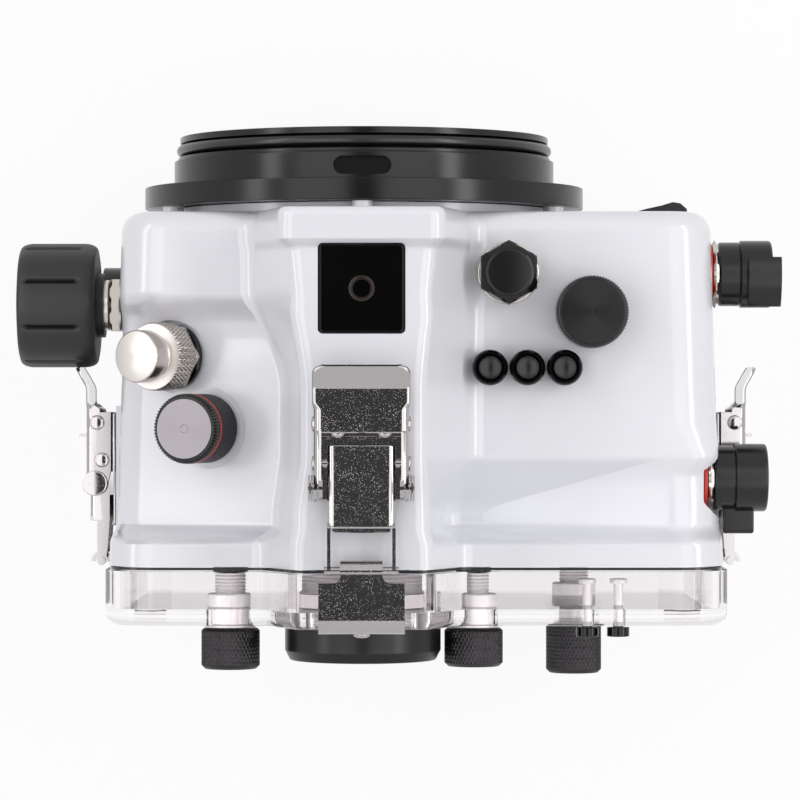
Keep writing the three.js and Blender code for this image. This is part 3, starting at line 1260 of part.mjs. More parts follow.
// The catch: a strip over the back's edge, curled round the hook bar at the joint
function latchCatch() {
  const low = BACK_PROUD + SEAT_GAP;
  const rearY = backOuterY - SEAT_GAP;
  const curlR = (HOOK_ROOF_H - low - SHEET) / 2;
  const curlH = low + SHEET + curlR;
  const curlY = HOOK_BAR_Y + HOOK_BAR_R + HOOK_GAP - curlR;
  const neck = [
    [CATCH_NECK_REAR_Y, low], ...arc(curlY, curlH, curlR + SHEET, -90, 90, CURL_STEPS),
    ...arc(curlY, curlH, curlR, 90, -90, CURL_STEPS), [CATCH_NECK_REAR_Y, low + SHEET],
  ];
  const bend = BACK_EDGE_R - SEAT_GAP;
  const strap = [
    [CATCH_NECK_REAR_Y + SHEET, low], [CATCH_NECK_REAR_Y + SHEET, low + SHEET],
    ...arc(rearY + bend, low - bend, bend + SHEET, 90, 180, SHEET_ARC_STEPS),
    [rearY - SHEET, low - CATCH_DROP - SHEET], [rearY, low - CATCH_DROP - SHEET],
    ...arc(rearY + bend, low - bend, bend, 180, 90, SHEET_ARC_STEPS),
  ];
  const screw = onSeat(post(CATCH_SCREW_R, -SHEET / 2, CATCH_SCREW_T),
    seat(0, rearY - SHEET, low - CATCH_DROP + CATCH_SCREW_R, BACKWARD));
  return join(
    across(neck, -CATCH_NECK_HALF, CATCH_NECK_HALF), across(strap, -CATCH_HALF, CATCH_HALF), screw);
}

// The safety lock: a cross strip on the lever's front rivets, with a thumb tongue
function latchLock() {
  const half = leverIn - EAR_GAP;
  const tabIn = half - SHEET;
  const high = WEB_H - SHEET - RUN_GAP;
  const tab = [
    [LOCK_REAR_Y, high - SHEET], [LOCK_REAR_Y, high], [LOCK_REAR_Y + 2 * SHEET, high],
    ...arc(TIE_Y, TIE_H, TIE_PIN_R + SHEET + RUN_GAP, 60, -120, SHEET_ARC_STEPS),
  ];
  const strip = block(-half, half, LOCK_REAR_Y, LOCK_REAR_Y + LOCK_T, high - SHEET, high);
  const tongue = block(
    -LOCK_TONGUE_W / 2, LOCK_TONGUE_W / 2, LOCK_REAR_Y, LOCK_REAR_Y + LOCK_T, high - SHEET, LOCK_TONGUE_H);
  const hole = pinAcross(TIE_Y, TIE_H, TIE_PIN_R + RUN_GAP, -half - OVERRUN, half + OVERRUN);
  return cut(join(strip, tongue, ...plates(tab, tabIn, SHEET)), hole);
}

function latch(name, place) {
  const group = new THREE.Group();
  group.position.copy(place.at);
  group.rotation.y = place.turn;
  add(group, `latch_base_${name}`, latchBase(), stainless());
  add(group, `latch_lever_${name}`, latchLever(), stainless());
  add(group, `latch_link_${name}`, latchLink(), stainless());
  add(group, `latch_catch_${name}`, latchCatch(), stainless());
  add(group, `latch_lock_${name}`, latchLock(), stainless());
  return group;
}

function controlOn(place, build, detail) {
  const group = seatGroup(place);
  build(group, detail);
  return group;
}

const housing = new THREE.Group();
add(housing, 'front_shell', frontShell(), whitePlastic());
add(housing, 'port_mount_ring', portRing(), blackAnodised());
add(housing, 'port_o_ring', portCord(), blackRubber());
add(housing, 'top_mount_plate', accessoryPlate(), blackPlastic());
add(housing, 'clear_back', clearBack(), clearPlastic());
add(housing, 'back_seal', backSeal(), blackRubber());
cameraTray(housing);
housing.add(
  controlOn(backSeat(0, EYE_Z), eyepiece),
  controlOn(SEATS.zoom, zoomControl),
  controlOn(SEATS.focus, focusControl),
  controlOn(SEATS.strobe, strobeConnector),
  controlOn(SEATS.mode, modeControl),
  controlOn(SEATS.plug, accessoryPlug),
  controlOn(SEATS.dial, dialControl),
  controlOn(SEATS.shutter, shutterControl),
  controlOn(SEATS.thumb, thumbControl),
  controlOn(SEATS.front, frontControl),
);
for (let i = 0; i < BUTTON_COUNT; i += 1) housing.add(controlOn(topButtonSeat(i), topButton, i));
for (const knob of BACK_KNOBS) housing.add(controlOn(backSeat(knob.x, knob.z), backKnob, knob));
for (let i = 0; i < BACK_BUTTON_COUNT; i += 1) housing.add(controlOn(backButtonSeat(i), backButton, i));
housing.add(
  latch('top', { at: new THREE.Vector3(0, 0, SPINE_Z), turn: 0 }),
  latch('left', { at: new THREE.Vector3(RIM_LEFT_X, 0, SIDE_LATCH_Z), turn: -Math.PI / 2 }),
  latch('right', { at: new THREE.Vector3(RIM_RIGHT_X, 0, SIDE_LATCH_Z), turn: Math.PI / 2 }),
);

export default housing;
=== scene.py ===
# Underwater camera housing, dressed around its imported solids. All places are in metres, in the
# frame of the part: +X to the photographer's right, +Y the lens side, +Z up. Sizes are written
# in millimetres and turned into metres where a mesh is made.
import math

import bmesh
import bpy
from mathutils import Matrix, Vector


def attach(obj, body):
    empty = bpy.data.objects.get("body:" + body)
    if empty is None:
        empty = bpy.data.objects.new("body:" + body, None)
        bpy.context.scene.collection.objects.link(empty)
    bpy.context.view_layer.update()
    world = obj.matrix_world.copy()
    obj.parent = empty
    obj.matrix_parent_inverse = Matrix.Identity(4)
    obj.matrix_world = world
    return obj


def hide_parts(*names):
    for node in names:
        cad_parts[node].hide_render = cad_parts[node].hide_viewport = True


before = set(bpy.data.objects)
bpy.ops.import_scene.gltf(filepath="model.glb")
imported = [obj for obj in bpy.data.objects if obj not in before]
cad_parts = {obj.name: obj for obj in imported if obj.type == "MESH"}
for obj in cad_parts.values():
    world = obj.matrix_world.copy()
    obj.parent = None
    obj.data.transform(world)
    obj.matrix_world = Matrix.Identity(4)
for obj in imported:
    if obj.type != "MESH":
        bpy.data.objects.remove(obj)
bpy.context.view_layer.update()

# Camera, light and floor
# The housing is photographed from straight above on white, so the camera hangs over it and a
# dark card round the camera is what the level mirror faces of the latches reflect.
MM = 0.001
CAMERA_X, CAMERA_HEIGHT = 11.3, 1270
SENSOR, LENS = 36, 171.4
scene = bpy.context.scene
scene.view_settings.view_transform = "Standard"


def held(name, data):
    """An object in the scene that holds a mesh, a lamp or the camera."""
    holder = bpy.data.objects.new(name, data)
    scene.collection.objects.link(holder)
    return holder


camera = held("camera", bpy.data.cameras.new("camera"))
camera.data.sensor_width = SENSOR
camera.data.lens = LENS
camera.location = (CAMERA_X * MM, 0, CAMERA_HEIGHT * MM)
scene.camera = camera


def node_of(tree, kind, *into, **settings):
    """A new node. Its inputs, in order or by name, take a value or a link, and other names are attributes."""
    made = tree.nodes.new(kind)
    for key, value in [*enumerate(into), *settings.items()]:
        socket = key.replace("_", " ") if key in settings else key
        if key in settings and socket not in made.inputs:
            setattr(made, key, value)
        elif isinstance(value, bpy.types.NodeSocket):
            tree.links.new(value, made.inputs[socket])
        else:
            made.inputs[socket].default_value = value
    return made


def maths(tree, operation, *into):
    """The output of a Math node on values and links."""
    return node_of(tree, "ShaderNodeMath", *into, operation=operation).outputs[0]


def white_to_the_eye(tree, shading, share):
    """Mixes white over a shader for camera, mirror and glass rays, by a share."""
    rays = node_of(tree, "ShaderNodeLightPath").outputs
    seen = maths(tree, "MAXIMUM", rays["Is Camera Ray"], rays["Is Glossy Ray"])
    seen = maths(tree, "MAXIMUM", seen, rays["Is Transmission Ray"])
    white = node_of(tree, "ShaderNodeEmission").outputs[0]
    return node_of(tree, "ShaderNodeMixShader", maths(tree, "MULTIPLY", seen, share), shading, white).outputs[0]


def material_of(name, **sockets):
    """A Principled material with some of its inputs set, and its shader."""
    made = bpy.data.materials.new(name)
    made.use_nodes = True
    shader = made.node_tree.nodes["Principled BSDF"]
    for socket, value in sockets.items():
        shader.inputs[socket.replace("_", " ")].default_value = value
    return made, shader


def shown_as(material, shading):
    """Makes a shading the one that the material's surface shows."""
    tree = material.node_tree
    tree.links.new(shading, tree.nodes["Material Output"].inputs["Surface"])
    return material


WORLD_LEVEL = 0.32
world = bpy.data.worlds.new("studio")
world.use_nodes = True
scene.world = world
studio = world.node_tree
studio.nodes.clear()
room = node_of(studio, "ShaderNodeBackground", Color=(1, 1, 1, 1), Strength=WORLD_LEVEL)
node_of(studio, "ShaderNodeOutputWorld", white_to_the_eye(studio, room.outputs[0], 1))


def softbox(name, place, size, power, aim=(0, 0, 60), mirrored=False):
    """An area lamp that faces a point. Mirror faces show it over the white room only if it is asked for."""
    lamp = bpy.data.lights.new(name, "AREA")
    lamp.shape = "RECTANGLE"
    lamp.size, lamp.size_y = size[0] * MM, size[1] * MM
    lamp.energy = power
    holder = held(name, lamp)
    holder.location = Vector(place) * MM
    holder.rotation_euler = (Vector(aim) - Vector(place)).to_track_quat("-Z", "Y").to_euler()
    holder.visible_glossy = mirrored


softbox("left_softbox", (-900, 200, 700), (1300, 200), 3.2, mirrored=True)
softbox("right_softbox", (950, 150, 800), (1300, 200), 5, mirrored=True)
softbox("front_softbox", (0, 1100, 900), (1400, 500), 1.5)
softbox("rear_softbox", (100, -1100, 800), (1400, 400), 0.9)
for name, x in (("left_panel", -600), ("right_panel", 630)):
    softbox(name, (x, 0, 1300), (850, 1500), 5, (x, 0, 0), mirrored=True)

FLOOR_HALF, FLOOR_WHITE, FLOOR_SHARE = 4000, 0.9, 0.88
CARD_HALF, CARD_REACH, CARD_HEIGHT, CARD_GREY = 145, 330, 1290, 0.03


def plain_sheet(name, half, reach, height):
    """A level sheet that isn't part of the housing, by its half sizes along X and Y."""
    made = bpy.data.meshes.new(name)
    corners = [(-half, -reach), (half, -reach), (half, reach), (-half, reach)]
    made.from_pydata([(x * MM, y * MM, height * MM) for x, y in corners], [], [(0, 1, 2, 3)])
    holder = held(name, made)
    return holder


def grey(level):
    return (level, level, level, 1)


floor = plain_sheet("floor", FLOOR_HALF, FLOOR_HALF, 0)
paper, shader = material_of("floor_paper", Base_Color=grey(FLOOR_WHITE), Roughness=0.8)
floor.data.materials.append(shown_as(paper, white_to_the_eye(paper.node_tree, shader.outputs[0], FLOOR_SHARE)))

card = plain_sheet("camera_card", CARD_HALF, CARD_REACH, CARD_HEIGHT)
black, _ = material_of(
    "card_black", Base_Color=grey(CARD_GREY), Emission_Color=grey(CARD_GREY), Emission_Strength=1)
card.data.materials.append(black)
card.visible_camera = False
card.visible_diffuse = False
card.visible_shadow = False
card.visible_transmission = False


# Front shell
# One thick-walled moulding in glossy white plastic, with a spine for the finder, a crossbar in
# front of it, a tilted floor on the left and a pocket on the right. Everything bolts to it.
WALL = 4
FRONT_Y = 57
JOINT_Y = -50
DRAFT = 0.031
LEFT_X = -73
RIGHT_X = 105.4
BASE_R = 12
SHOULDER_R = 14
CREST_R = 5
FOOT_R = 6
FRONT_R = 6.5
BAR_R = 2.4
DECK_Z = 127
SPINE_Z = 150
BAR_Z = 153.2
SECTION_STEPS = 8
STATION_GAP = 0.75
HOLLOW_STEPS, LOW_ROOF_Y, LOW_ROOF_Z = 36, 12, 144.3
GAP = 0.3
THROUGH = 16
ROOM_SHARE = 0.46


def quarter(steps):
    """The (cosine, sine) of each step of a quarter turn."""
    return [(math.cos(a), math.sin(a)) for a in (math.pi / 2 * k / steps for k in range(steps + 1))]


def rounded(corners, steps=SECTION_STEPS):
    """An outline through (x, y, radius) corners, each one turned into a round corner."""
    outline = []
    for i, (x, y, radius) in enumerate(corners):
        if not radius:
            outline.append((x, y))
            continue
        here = Vector((x, y))
        before = Vector(corners[i - 1][:2]) - here
        after = Vector(corners[(i + 1) % len(corners)][:2]) - here
        opening = before.angle(after)
        room = min(before.length, after.length) * ROOM_SHARE
        back = min(radius / math.tan(opening / 2), room)
        start = here + before.normalized() * back
        end = here + after.normalized() * back
        weight = math.sin(opening / 2)
        for k in range(steps + 1):
            t = k / steps
            a, b, c = (1 - t) ** 2, 2 * t * (1 - t) * weight, t * t
            point = (start * a + here * b + end * c) / (a + b + c)
            outline.append((point.x, point.y))
    return outline


def oblong(x0, x1, y0, y1, radius):
    """The outline of a rectangle with round corners."""
    return rounded([(x0, y0, radius), (x1, y0, radius), (x1, y1, radius), (x0, y1, radius)])


def made_of(name, points, faces):
    """A closed mesh object from points in millimetres, with its faces turned outwards."""
    shape = bpy.data.meshes.new(name)
    shape.from_pydata([(x * MM, y * MM, z * MM) for x, y, z in points], [], faces)
    work = bmesh.new()
    work.from_mesh(shape)
    bmesh.ops.remove_doubles(work, verts=work.verts, dist=MM / 1000)
    bmesh.ops.recalc_face_normals(work, faces=work.faces)
    work.to_mesh(shape)
    work.free()
    return held(name, shape)


def skinned(name, rings):
    """A closed skin through rings of points that follow each other, capped at both ends."""
    count = len(rings[0])
    faces = []
    for ring in range(len(rings) - 1):
        for i in range(count):
            a, b = ring * count + i, ring * count + (i + 1) % count
            faces.append((a, b, b + count, a + count))
    last = (len(rings) - 1) * count
    faces.append(tuple(range(count)))
    faces.append(tuple(range(last, last + count)))
    return made_of(name, [point for ring in rings for point in ring], faces)


def loft(name, stations):
    """A skin through outlines of (x, z) points at places along Y."""
    return skinned(name, [[(x, y, z) for x, z in outline] for y, outline in stations])


def stacked(name, layers):
    """A skin through outlines of (x, y) points at heights."""
    return skinned(name, [[(x, y, z) for x, y in outline] for z, outline in layers])


def combined(piece, others, operation):
    """Joins other closed meshes to a piece, or cuts them from it, and removes them."""
    for other in others:
        step = piece.modifiers.new("step", "BOOLEAN")
        step.operation = operation
        step.solver = "MANIFOLD"
        step.object = other
        bpy.context.view_layer.update()
        result = bpy.data.meshes.new_from_object(piece.evaluated_get(bpy.context.evaluated_depsgraph_get()))
        piece.modifiers.clear()
        piece.data = result
        bpy.data.objects.remove(other)
    return piece


def joined(piece, *others):
    return combined(piece, others, "UNION")


def cut(piece, *others):
    return combined(piece, others, "DIFFERENCE")


def smoothed(piece, angle=32):
    """Smooth shading with sharp edges past an angle, and flat faces kept flat."""
    shape = piece.data
    for face in shape.polygons:
        face.use_smooth = True
    shape.set_sharp_from_angle(angle=math.radians(angle))
    flat = piece.modifiers.new("flat_faces", "WEIGHTED_NORMAL")
    flat.keep_sharp = True
    flat.weight = 70
    return piece


def dressed(piece, material, body, nodes=()):
    """Gives a piece its material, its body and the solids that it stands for."""
    piece.data.materials.clear()
    piece.data.materials.append(material)
    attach(piece, body)
    if nodes:
        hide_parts(*nodes)
    return piece


def turned(name, profile, sides=96, relief=None):
    """A profile of (radius, height) points turned about Z. relief changes a point's radius."""
    points, faces, rows = [], [], []
    for radius, height in profile:
        if radius < GAP / 100:
            rows.append([len(points)] * sides)
            points.append((0, 0, height))
            continue
        rows.append(range(len(points), len(points) + sides))
        for i in range(sides):
            angle = 2 * math.pi * i / sides
            here = relief(angle, height, radius) if relief else radius
            points.append((here * math.cos(angle), here * math.sin(angle), height))
    for low, high in zip(rows, rows[1:]):
        for i in range(sides):
            face = [low[i], low[(i + 1) % sides], high[(i + 1) % sides], high[i]]
            face = [v for k, v in enumerate(face) if v != face[k - 1]]
            if len(face) > 2:
                faces.append(tuple(face))
    return made_of(name, points, faces)


def post(radius, low, high, sides=48):
    return turned("post", [(0, low), (radius, low), (radius, high), (0, high)], sides)


def block(x0, x1, y0, y1, z0, z1):
    return stacked("block", [(z, [(x0, y0), (x1, y0), (x1, y1), (x0, y1)]) for z in (z0, z1)])


def prism(outline, low, high):
    return stacked("prism", [(low, outline), (high, outline)])


def seated(piece, place, out=(0, 0, 1), spin=0):
    """Stands a piece that was made about Z on a place, along the direction that it faces."""
    turn = Vector((0, 0, 1)).rotation_difference(Vector(out)).to_matrix().to_4x4()
    spun = Matrix.Rotation(math.radians(spin), 4, "Z")
    piece.matrix_world = Matrix.Translation(Vector(place) * MM) @ turn @ spun
    return piece


def left_wall(y):
    return LEFT_X - DRAFT * (FRONT_Y - y)


def right_wall(y):
    return RIGHT_X + DRAFT * (FRONT_Y - y)


LEFT, RIGHT = (-1, 0, 0), (1, 0, 0)
FORWARD, UP = (0, 1, 0), (0, 0, 1)
FOOT_X = 33.5
CREST_FRONT = 21
CREST_WAIST = 17.8
CREST_REAR = 20
STEEP_RUN = 4.8
FLOOR_SLOPE = 0.455
POCKET_Z = 112
RIM_Z = 130
RIM_LEFT, RIM_RIGHT = -76.7, 109.2
MID_DECK_X = 61.75
BAR_STEP_Y, LEDGE_Y, RIM_STEP_Y = 41, -17.5, -36
SOFTEST = 3.8


def left_floor(x):
    return DECK_Z - FLOOR_SLOPE * (-CREST_WAIST - STEEP_RUN - x)


def between(a, b, share):
    """A form that lies a share of the way from one form to another."""
    return {key: a[key] + (b[key] - a[key]) * share for key in a}


# A form of the shell's section: where its crest, feet and valley stand, and how far its rims reach out
FLAT = {
    "crest": CREST_FRONT, "top": SPINE_Z, "foot_left": FOOT_X, "foot_left_z": DECK_Z, "left_z": DECK_Z,
    "foot_right": FOOT_X, "foot_right_z": DECK_Z, "valley": MID_DECK_X, "valley_z": DECK_Z, "right_z": DECK_Z,
    "wide_left": 0, "wide_right": 0,
}
BAR = {**FLAT, "crest": 23.6, "top": BAR_Z}
STEP_TOP = {**FLAT, "crest": (CREST_FRONT + CREST_WAIST) / 2}
FLOOR = {**FLAT, "crest": CREST_WAIST, "foot_left": CREST_WAIST + STEEP_RUN, "left_z": left_floor(left_wall(0))}
STEP_MID = {**between(FLAT, FLOOR, 0.3), "left_z": FLOOR["left_z"] + 5}
STEP_FOOT = {**between(FLAT, FLOOR, 0.62), "left_z": FLOOR["left_z"]}
LEDGE = {**FLOOR, "valley": 90}
POCKET = {
    **FLOOR, "crest": CREST_REAR, "foot_left": CREST_REAR + STEEP_RUN, "foot_right": CREST_REAR + STEEP_RUN,
    "foot_right_z": POCKET_Z, "valley": CREST_REAR + STEEP_RUN + 2 * FOOT_R, "valley_z": POCKET_Z,
}
RIM = {
    **FLAT, "crest": CREST_REAR, "foot_left": CREST_REAR + 2 * STEEP_RUN, "foot_left_z": RIM_Z, "left_z": RIM_Z,
    "foot_right": CREST_REAR + 2 * STEEP_RUN, "foot_right_z": RIM_Z, "valley_z": RIM_Z, "right_z": RIM_Z,
    "wide_left": left_wall(JOINT_Y) - RIM_LEFT, "wide_right": RIM_RIGHT - right_wall(JOINT_Y),
}
FORMS = [
    (FRONT_Y, BAR), (46.6, BAR), (45.6, FLAT), (31, STEP_TOP), (25, STEP_MID), (18, STEP_FOOT),
    (7, FLOOR), (LEDGE_Y, LEDGE), (-33, POCKET), (-39, POCKET), (-42, RIM), (JOINT_Y - 9, RIM),
]


def form_at(y):
    """The shell's form at a place along Y, straight between the forms that are given."""
    y = min(max(y, FORMS[-1][0]), FRONT_Y)
    for (y0, a), (y1, b) in zip(FORMS, FORMS[1:]):
        if y1 <= y <= y0:
            return between(a, b, (y0 - y) / (y0 - y1))
    return FORMS[-1][1]


def soft_form(y):
    """The form averaged over a reach, which is short at the bar, at the ledge and at the rim, where the
    mould's steps are crisp."""
    reach = min(SOFTEST, 0.9 + 0.09 * max(0, BAR_STEP_Y - y), 1.1 + 0.3 * abs(y - LEDGE_Y),
                1.4 + 0.2 * max(0, y - RIM_STEP_Y))
    near = [form_at(y + reach * k / 4) for k in range(-4, 5)]
    return {key: sum(form[key] for form in near) / len(near) for key in near[0]}


def section(y, form, inset=0, crest_inset=None, steps=SECTION_STEPS):
    """The shell's outline across X and Z at a place along Y, drawn in by an inset."""
    top_in = inset if crest_inset is None else crest_inset
    left = left_wall(y) - form["wide_left"] + inset
    right = right_wall(y) + form["wide_right"] - inset

    def radius(size, drawn=inset):
        return max(size - drawn, size / 3)

    return rounded([
        (left, max(inset, 0), radius(BASE_R)), (right, max(inset, 0), radius(BASE_R)),
        (right, form["right_z"] - inset, radius(SHOULDER_R)),
        (form["valley"], form["valley_z"] - inset, FOOT_R),
        (form["foot_right"] - inset / 2, form["foot_right_z"] - inset, FOOT_R),
        (form["crest"] - top_in / 2, form["top"] - top_in, radius(CREST_R, top_in)),
        (-form["crest"] + top_in / 2, form["top"] - top_in, radius(CREST_R, top_in)),
        (-form["foot_left"] + inset / 2, form["foot_left_z"] - inset, FOOT_R),
        (left, form["left_z"] - inset, radius(SHOULDER_R)),
    ], steps)


def round_inset(distance, radius):
    """How far a round front edge draws in at a distance behind the front."""
    if distance >= radius:
        return 0
    return radius - math.sqrt(radius ** 2 - (radius - distance) ** 2)


def shell_skin():
    depths = [FRONT_R * (1 - c) for c, s in quarter(12)]
    count = round((FRONT_Y - FRONT_R - JOINT_Y) / STATION_GAP)
    depths += [FRONT_R + (FRONT_Y - FRONT_R - JOINT_Y) * i / count for i in range(1, count + 1)]
    return loft("shell", [
        (FRONT_Y - d, section(
            FRONT_Y - d, soft_form(FRONT_Y - d), round_inset(d, FRONT_R), round_inset(d, BAR_R))) for d in depths
    ])


def shell_hollow():
    """The room inside, with a lower roof in front, where the plate is let into the spine."""
    stations = []
    for i in range(HOLLOW_STEPS + 1):
        y = FRONT_Y - WALL + (JOINT_Y - 2 - FRONT_Y + WALL) * i / HOLLOW_STEPS
        form = soft_form(y)
        if y > LOW_ROOF_Y:
            form = {**form, "crest": min(form["crest"], CREST_FRONT), "top": LOW_ROOF_Z}
        stations.append((y, section(y, form, WALL, steps=4)))
    return loft("hollow", stations)


PORT_Z = 70
PORT_BORE_R = 51.5
NECK_R = 60
POST_R = 3.15
POST_CIRCLE_R = 64.5
FLANGE_REAR_Y = 59.7
SIDE_LATCH_Z = 75
HANDLE_HALF = 14.4
SIDE_PAD_Y = (-44, -1.8)
PORT_POST_ANGLES = (90, 25, 155, -25, 205)
PLATE_HALF = 12.6
PLATE_FRONT_Y = 45.9
PLATE_REAR_Y = 19.8
PLATE_T = 6
PLATE_Z = 150.6
NICKEL_HEX_R = 10.4
SLEEVE_R = 6
THUMB_PLACE = (right_wall(-23.6) - 5, -23.6, 111)
SHUTTER_PLACE = (right_wall(38.6) - 0.6, 38.6, 100)
ZOOM_PLACE = (left_wall(29.5) - 0.5, 29.5, 80)
FOCUS_PLACE = (left_wall(32.6) - 0.5, 32.6, 42)
STROBE_TILT, MODE_TILT = 33, 21.5
STROBE_PLACE = (-56.5, 13.1, left_floor(-56.5))
MODE_PLACE = (-46.5, -8.6, left_floor(-46.5))


def tilted_left(degrees):
    return (-math.sin(math.radians(degrees)), 0, math.cos(math.radians(degrees)))


PLUG_PLACE = (43.8, 38.1, DECK_Z)
DIAL_PLACE = (68.4, 26.2, DECK_Z)
BUTTON_PLACES = [(38.2 + 11.15 * i, 9.7, DECK_Z) for i in range(3)]
FRONT_LEVER_PLACE = (92, FRONT_Y, 88)
# Each seat on the shell: place, direction, radius of its flat spot or none, radius of its hole
SHELL_SEATS = [
    (ZOOM_PLACE, LEFT, 0, SLEEVE_R), (FOCUS_PLACE, LEFT, 0, SLEEVE_R),
    (STROBE_PLACE, tilted_left(STROBE_TILT), 10.8, SLEEVE_R), (MODE_PLACE, tilted_left(MODE_TILT), 11.9, SLEEVE_R),
    (PLUG_PLACE, UP, 9.7, SLEEVE_R), (DIAL_PLACE, UP, 0, SLEEVE_R),
    (SHUTTER_PLACE, RIGHT, 11.8, SLEEVE_R), (THUMB_PLACE, RIGHT, 11.8, SLEEVE_R),
    (FRONT_LEVER_PLACE, FORWARD, 0, 2), *[(place, UP, 0, 4) for place in BUTTON_PLACES],
]


def front_shell():
    """The moulding with its neck, posts and pads, hollowed and cut for the plate, the port and the glands."""
    shell = shell_skin()
    neck_reach = FLANGE_REAR_Y - GAP - FRONT_Y
    additions = [
        seated(post(NECK_R, -WALL, neck_reach, 160), (0, FRONT_Y, PORT_Z), FORWARD),
        *[block(x0, x1, *SIDE_PAD_Y, SIDE_LATCH_Z - HANDLE_HALF, SIDE_LATCH_Z + HANDLE_HALF) for x0, x1 in (
            (RIM_LEFT, left_wall(FRONT_Y) + 2), (right_wall(FRONT_Y) - 2, RIM_RIGHT))],
        seated(post(NICKEL_HEX_R + 1.4, -WALL, 0, 64), ZOOM_PLACE, LEFT),
    ]
    for angle in PORT_POST_ANGLES:
        x, z = (POST_CIRCLE_R * f(math.radians(angle)) for f in (math.cos, math.sin))
        additions.append(seated(post(POST_R, -WALL, neck_reach, 32), (x, FRONT_Y, PORT_Z + z), FORWARD))
    joined(shell, *additions)
    wells = [
        seated(post(spot + WALL, -WALL * 2, THROUGH, 64), place, out) for place, out, spot, hole in SHELL_SEATS
        if spot and place != PLUG_PLACE
    ]
    cut(shell, cut(shell_hollow(), *wells))
    pocket = prism(oblong(-PLATE_HALF - GAP, PLATE_HALF + GAP, PLATE_REAR_Y - GAP, PLATE_FRONT_Y + GAP, 1.5),
                   PLATE_Z - PLATE_T - GAP, SPINE_Z + 6)
    spots = [seated(post(spot + GAP, 0, THROUGH, 64), place, out) for place, out, spot, hole in SHELL_SEATS if spot]
    holes = [seated(post(hole + GAP, -THROUGH, 2, 48), place, out) for place, out, spot, hole in SHELL_SEATS]
    bore = seated(post(PORT_BORE_R, -WALL * 2, WALL * 2, 160), (0, FRONT_Y, PORT_Z), FORWARD)
    return smoothed(cut(shell, pocket, *spots, *holes, bore))


def fine_grain():
    """Shader group: uneven gloss and a fine skin, as moulded or machined surfaces have."""
    group = bpy.data.node_groups.new("fine_grain", "ShaderNodeTree")
    face = group.interface
    for name, kind, value in (
        ("Scale", "Float", 400), ("Rough Low", "Float", 0.2), ("Rough High", "Float", 0.3),
        ("Colour Low", "Color", (0, 0, 0, 1)), ("Colour High", "Color", (0, 0, 0, 1)),
    ):
        face.new_socket(name, in_out="INPUT", socket_type=f"NodeSocket{kind}").default_value = value
    for name, kind in (("Colour", "Color"), ("Roughness", "Float"), ("Height", "Float")):
        face.new_socket(name, in_out="OUTPUT", socket_type=f"NodeSocket{kind}")
    given = node_of(group, "NodeGroupInput").outputs
    place = node_of(group, "ShaderNodeTexCoord").outputs["Object"]
    fine = node_of(group, "ShaderNodeTexNoise", Vector=place, Scale=given["Scale"], Detail=4).outputs["Fac"]
    broad = node_of(group, "ShaderNodeTexNoise", Vector=place, Scale=18, Detail=3).outputs["Fac"]
    rough = node_of(
        group, "ShaderNodeMapRange", Value=broad, To_Min=given["Rough Low"], To_Max=given["Rough High"])
    shade = node_of(group, "ShaderNodeMix", data_type="RGBA", Factor=broad)
    group.links.new(given["Colour Low"], shade.inputs[6])
    group.links.new(given["Colour High"], shade.inputs[7])
    node_of(group, "NodeGroupOutput", Colour=shade.outputs[2], Roughness=rough.outputs["Result"], Height=fine)
    return group


GRAIN = fine_grain()
SKIN_DEPTH = 0.05


def grained(name, low, high, rough, scale=400, bump=0.05, **sockets):
    """A Principled material whose colour, gloss and skin come from the grain group."""
    made, shader = material_of(name, **sockets)
    tree = made.node_tree
    grain = node_of(
        tree, "ShaderNodeGroup", node_tree=GRAIN, Scale=scale, Rough_Low=rough[0], Rough_High=rough[1],
        Colour_Low=(*low, 1), Colour_High=(*high, 1)).outputs
    skin = node_of(tree, "ShaderNodeBump", Height=grain["Height"], Strength=bump, Distance=SKIN_DEPTH * MM)
    tree.links.new(grain["Colour"], shader.inputs["Base Color"])
    tree.links.new(grain["Roughness"], shader.inputs["Roughness"])
    tree.links.new(skin.outputs["Normal"], shader.inputs["Normal"])
    return made


white_plastic = grained(
    "glossy_white_plastic", (0.74, 0.74, 0.785), (0.79, 0.79, 0.83), (0.16, 0.24), scale=900, bump=0.04,
    Coat_Weight=0.35, Coat_Roughness=0.08)
dressed(front_shell(), white_plastic, "root", ["front_shell"]).name = "moulded_shell"


# Port ring
# A turned ring of satin black anodised aluminium in front of the shell. A lens port slides over
# its cylinder, seals on the cord in the groove and is kept from turning by the keyway.
FLANGE_T, FLANGE_R = 6.6, 68.8
CYLINDER_R, CYLINDER_END = 59.6, 15
LAND_R, LAND_END = 58.4, 16.2
GROOVE_R, GROOVE_END = 55, 20.5
LIP_R, RING_END = 57.8, 22.5
KEYWAY_L, KEYWAY_W, KEYWAY_DEPTH = 17.4, 5.5, 2.4
FINE = 0.3
PORT_SIDES = 220


def rung(profile, edge=FINE, steps=2):
    """A closed profile of (radius, height) corners with broken edges, ready to be turned."""
    outline = rounded([(r, h, edge if r > edge else 0) for r, h in profile], steps)
    return outline if profile[0][0] < edge else [*outline, outline[0]]


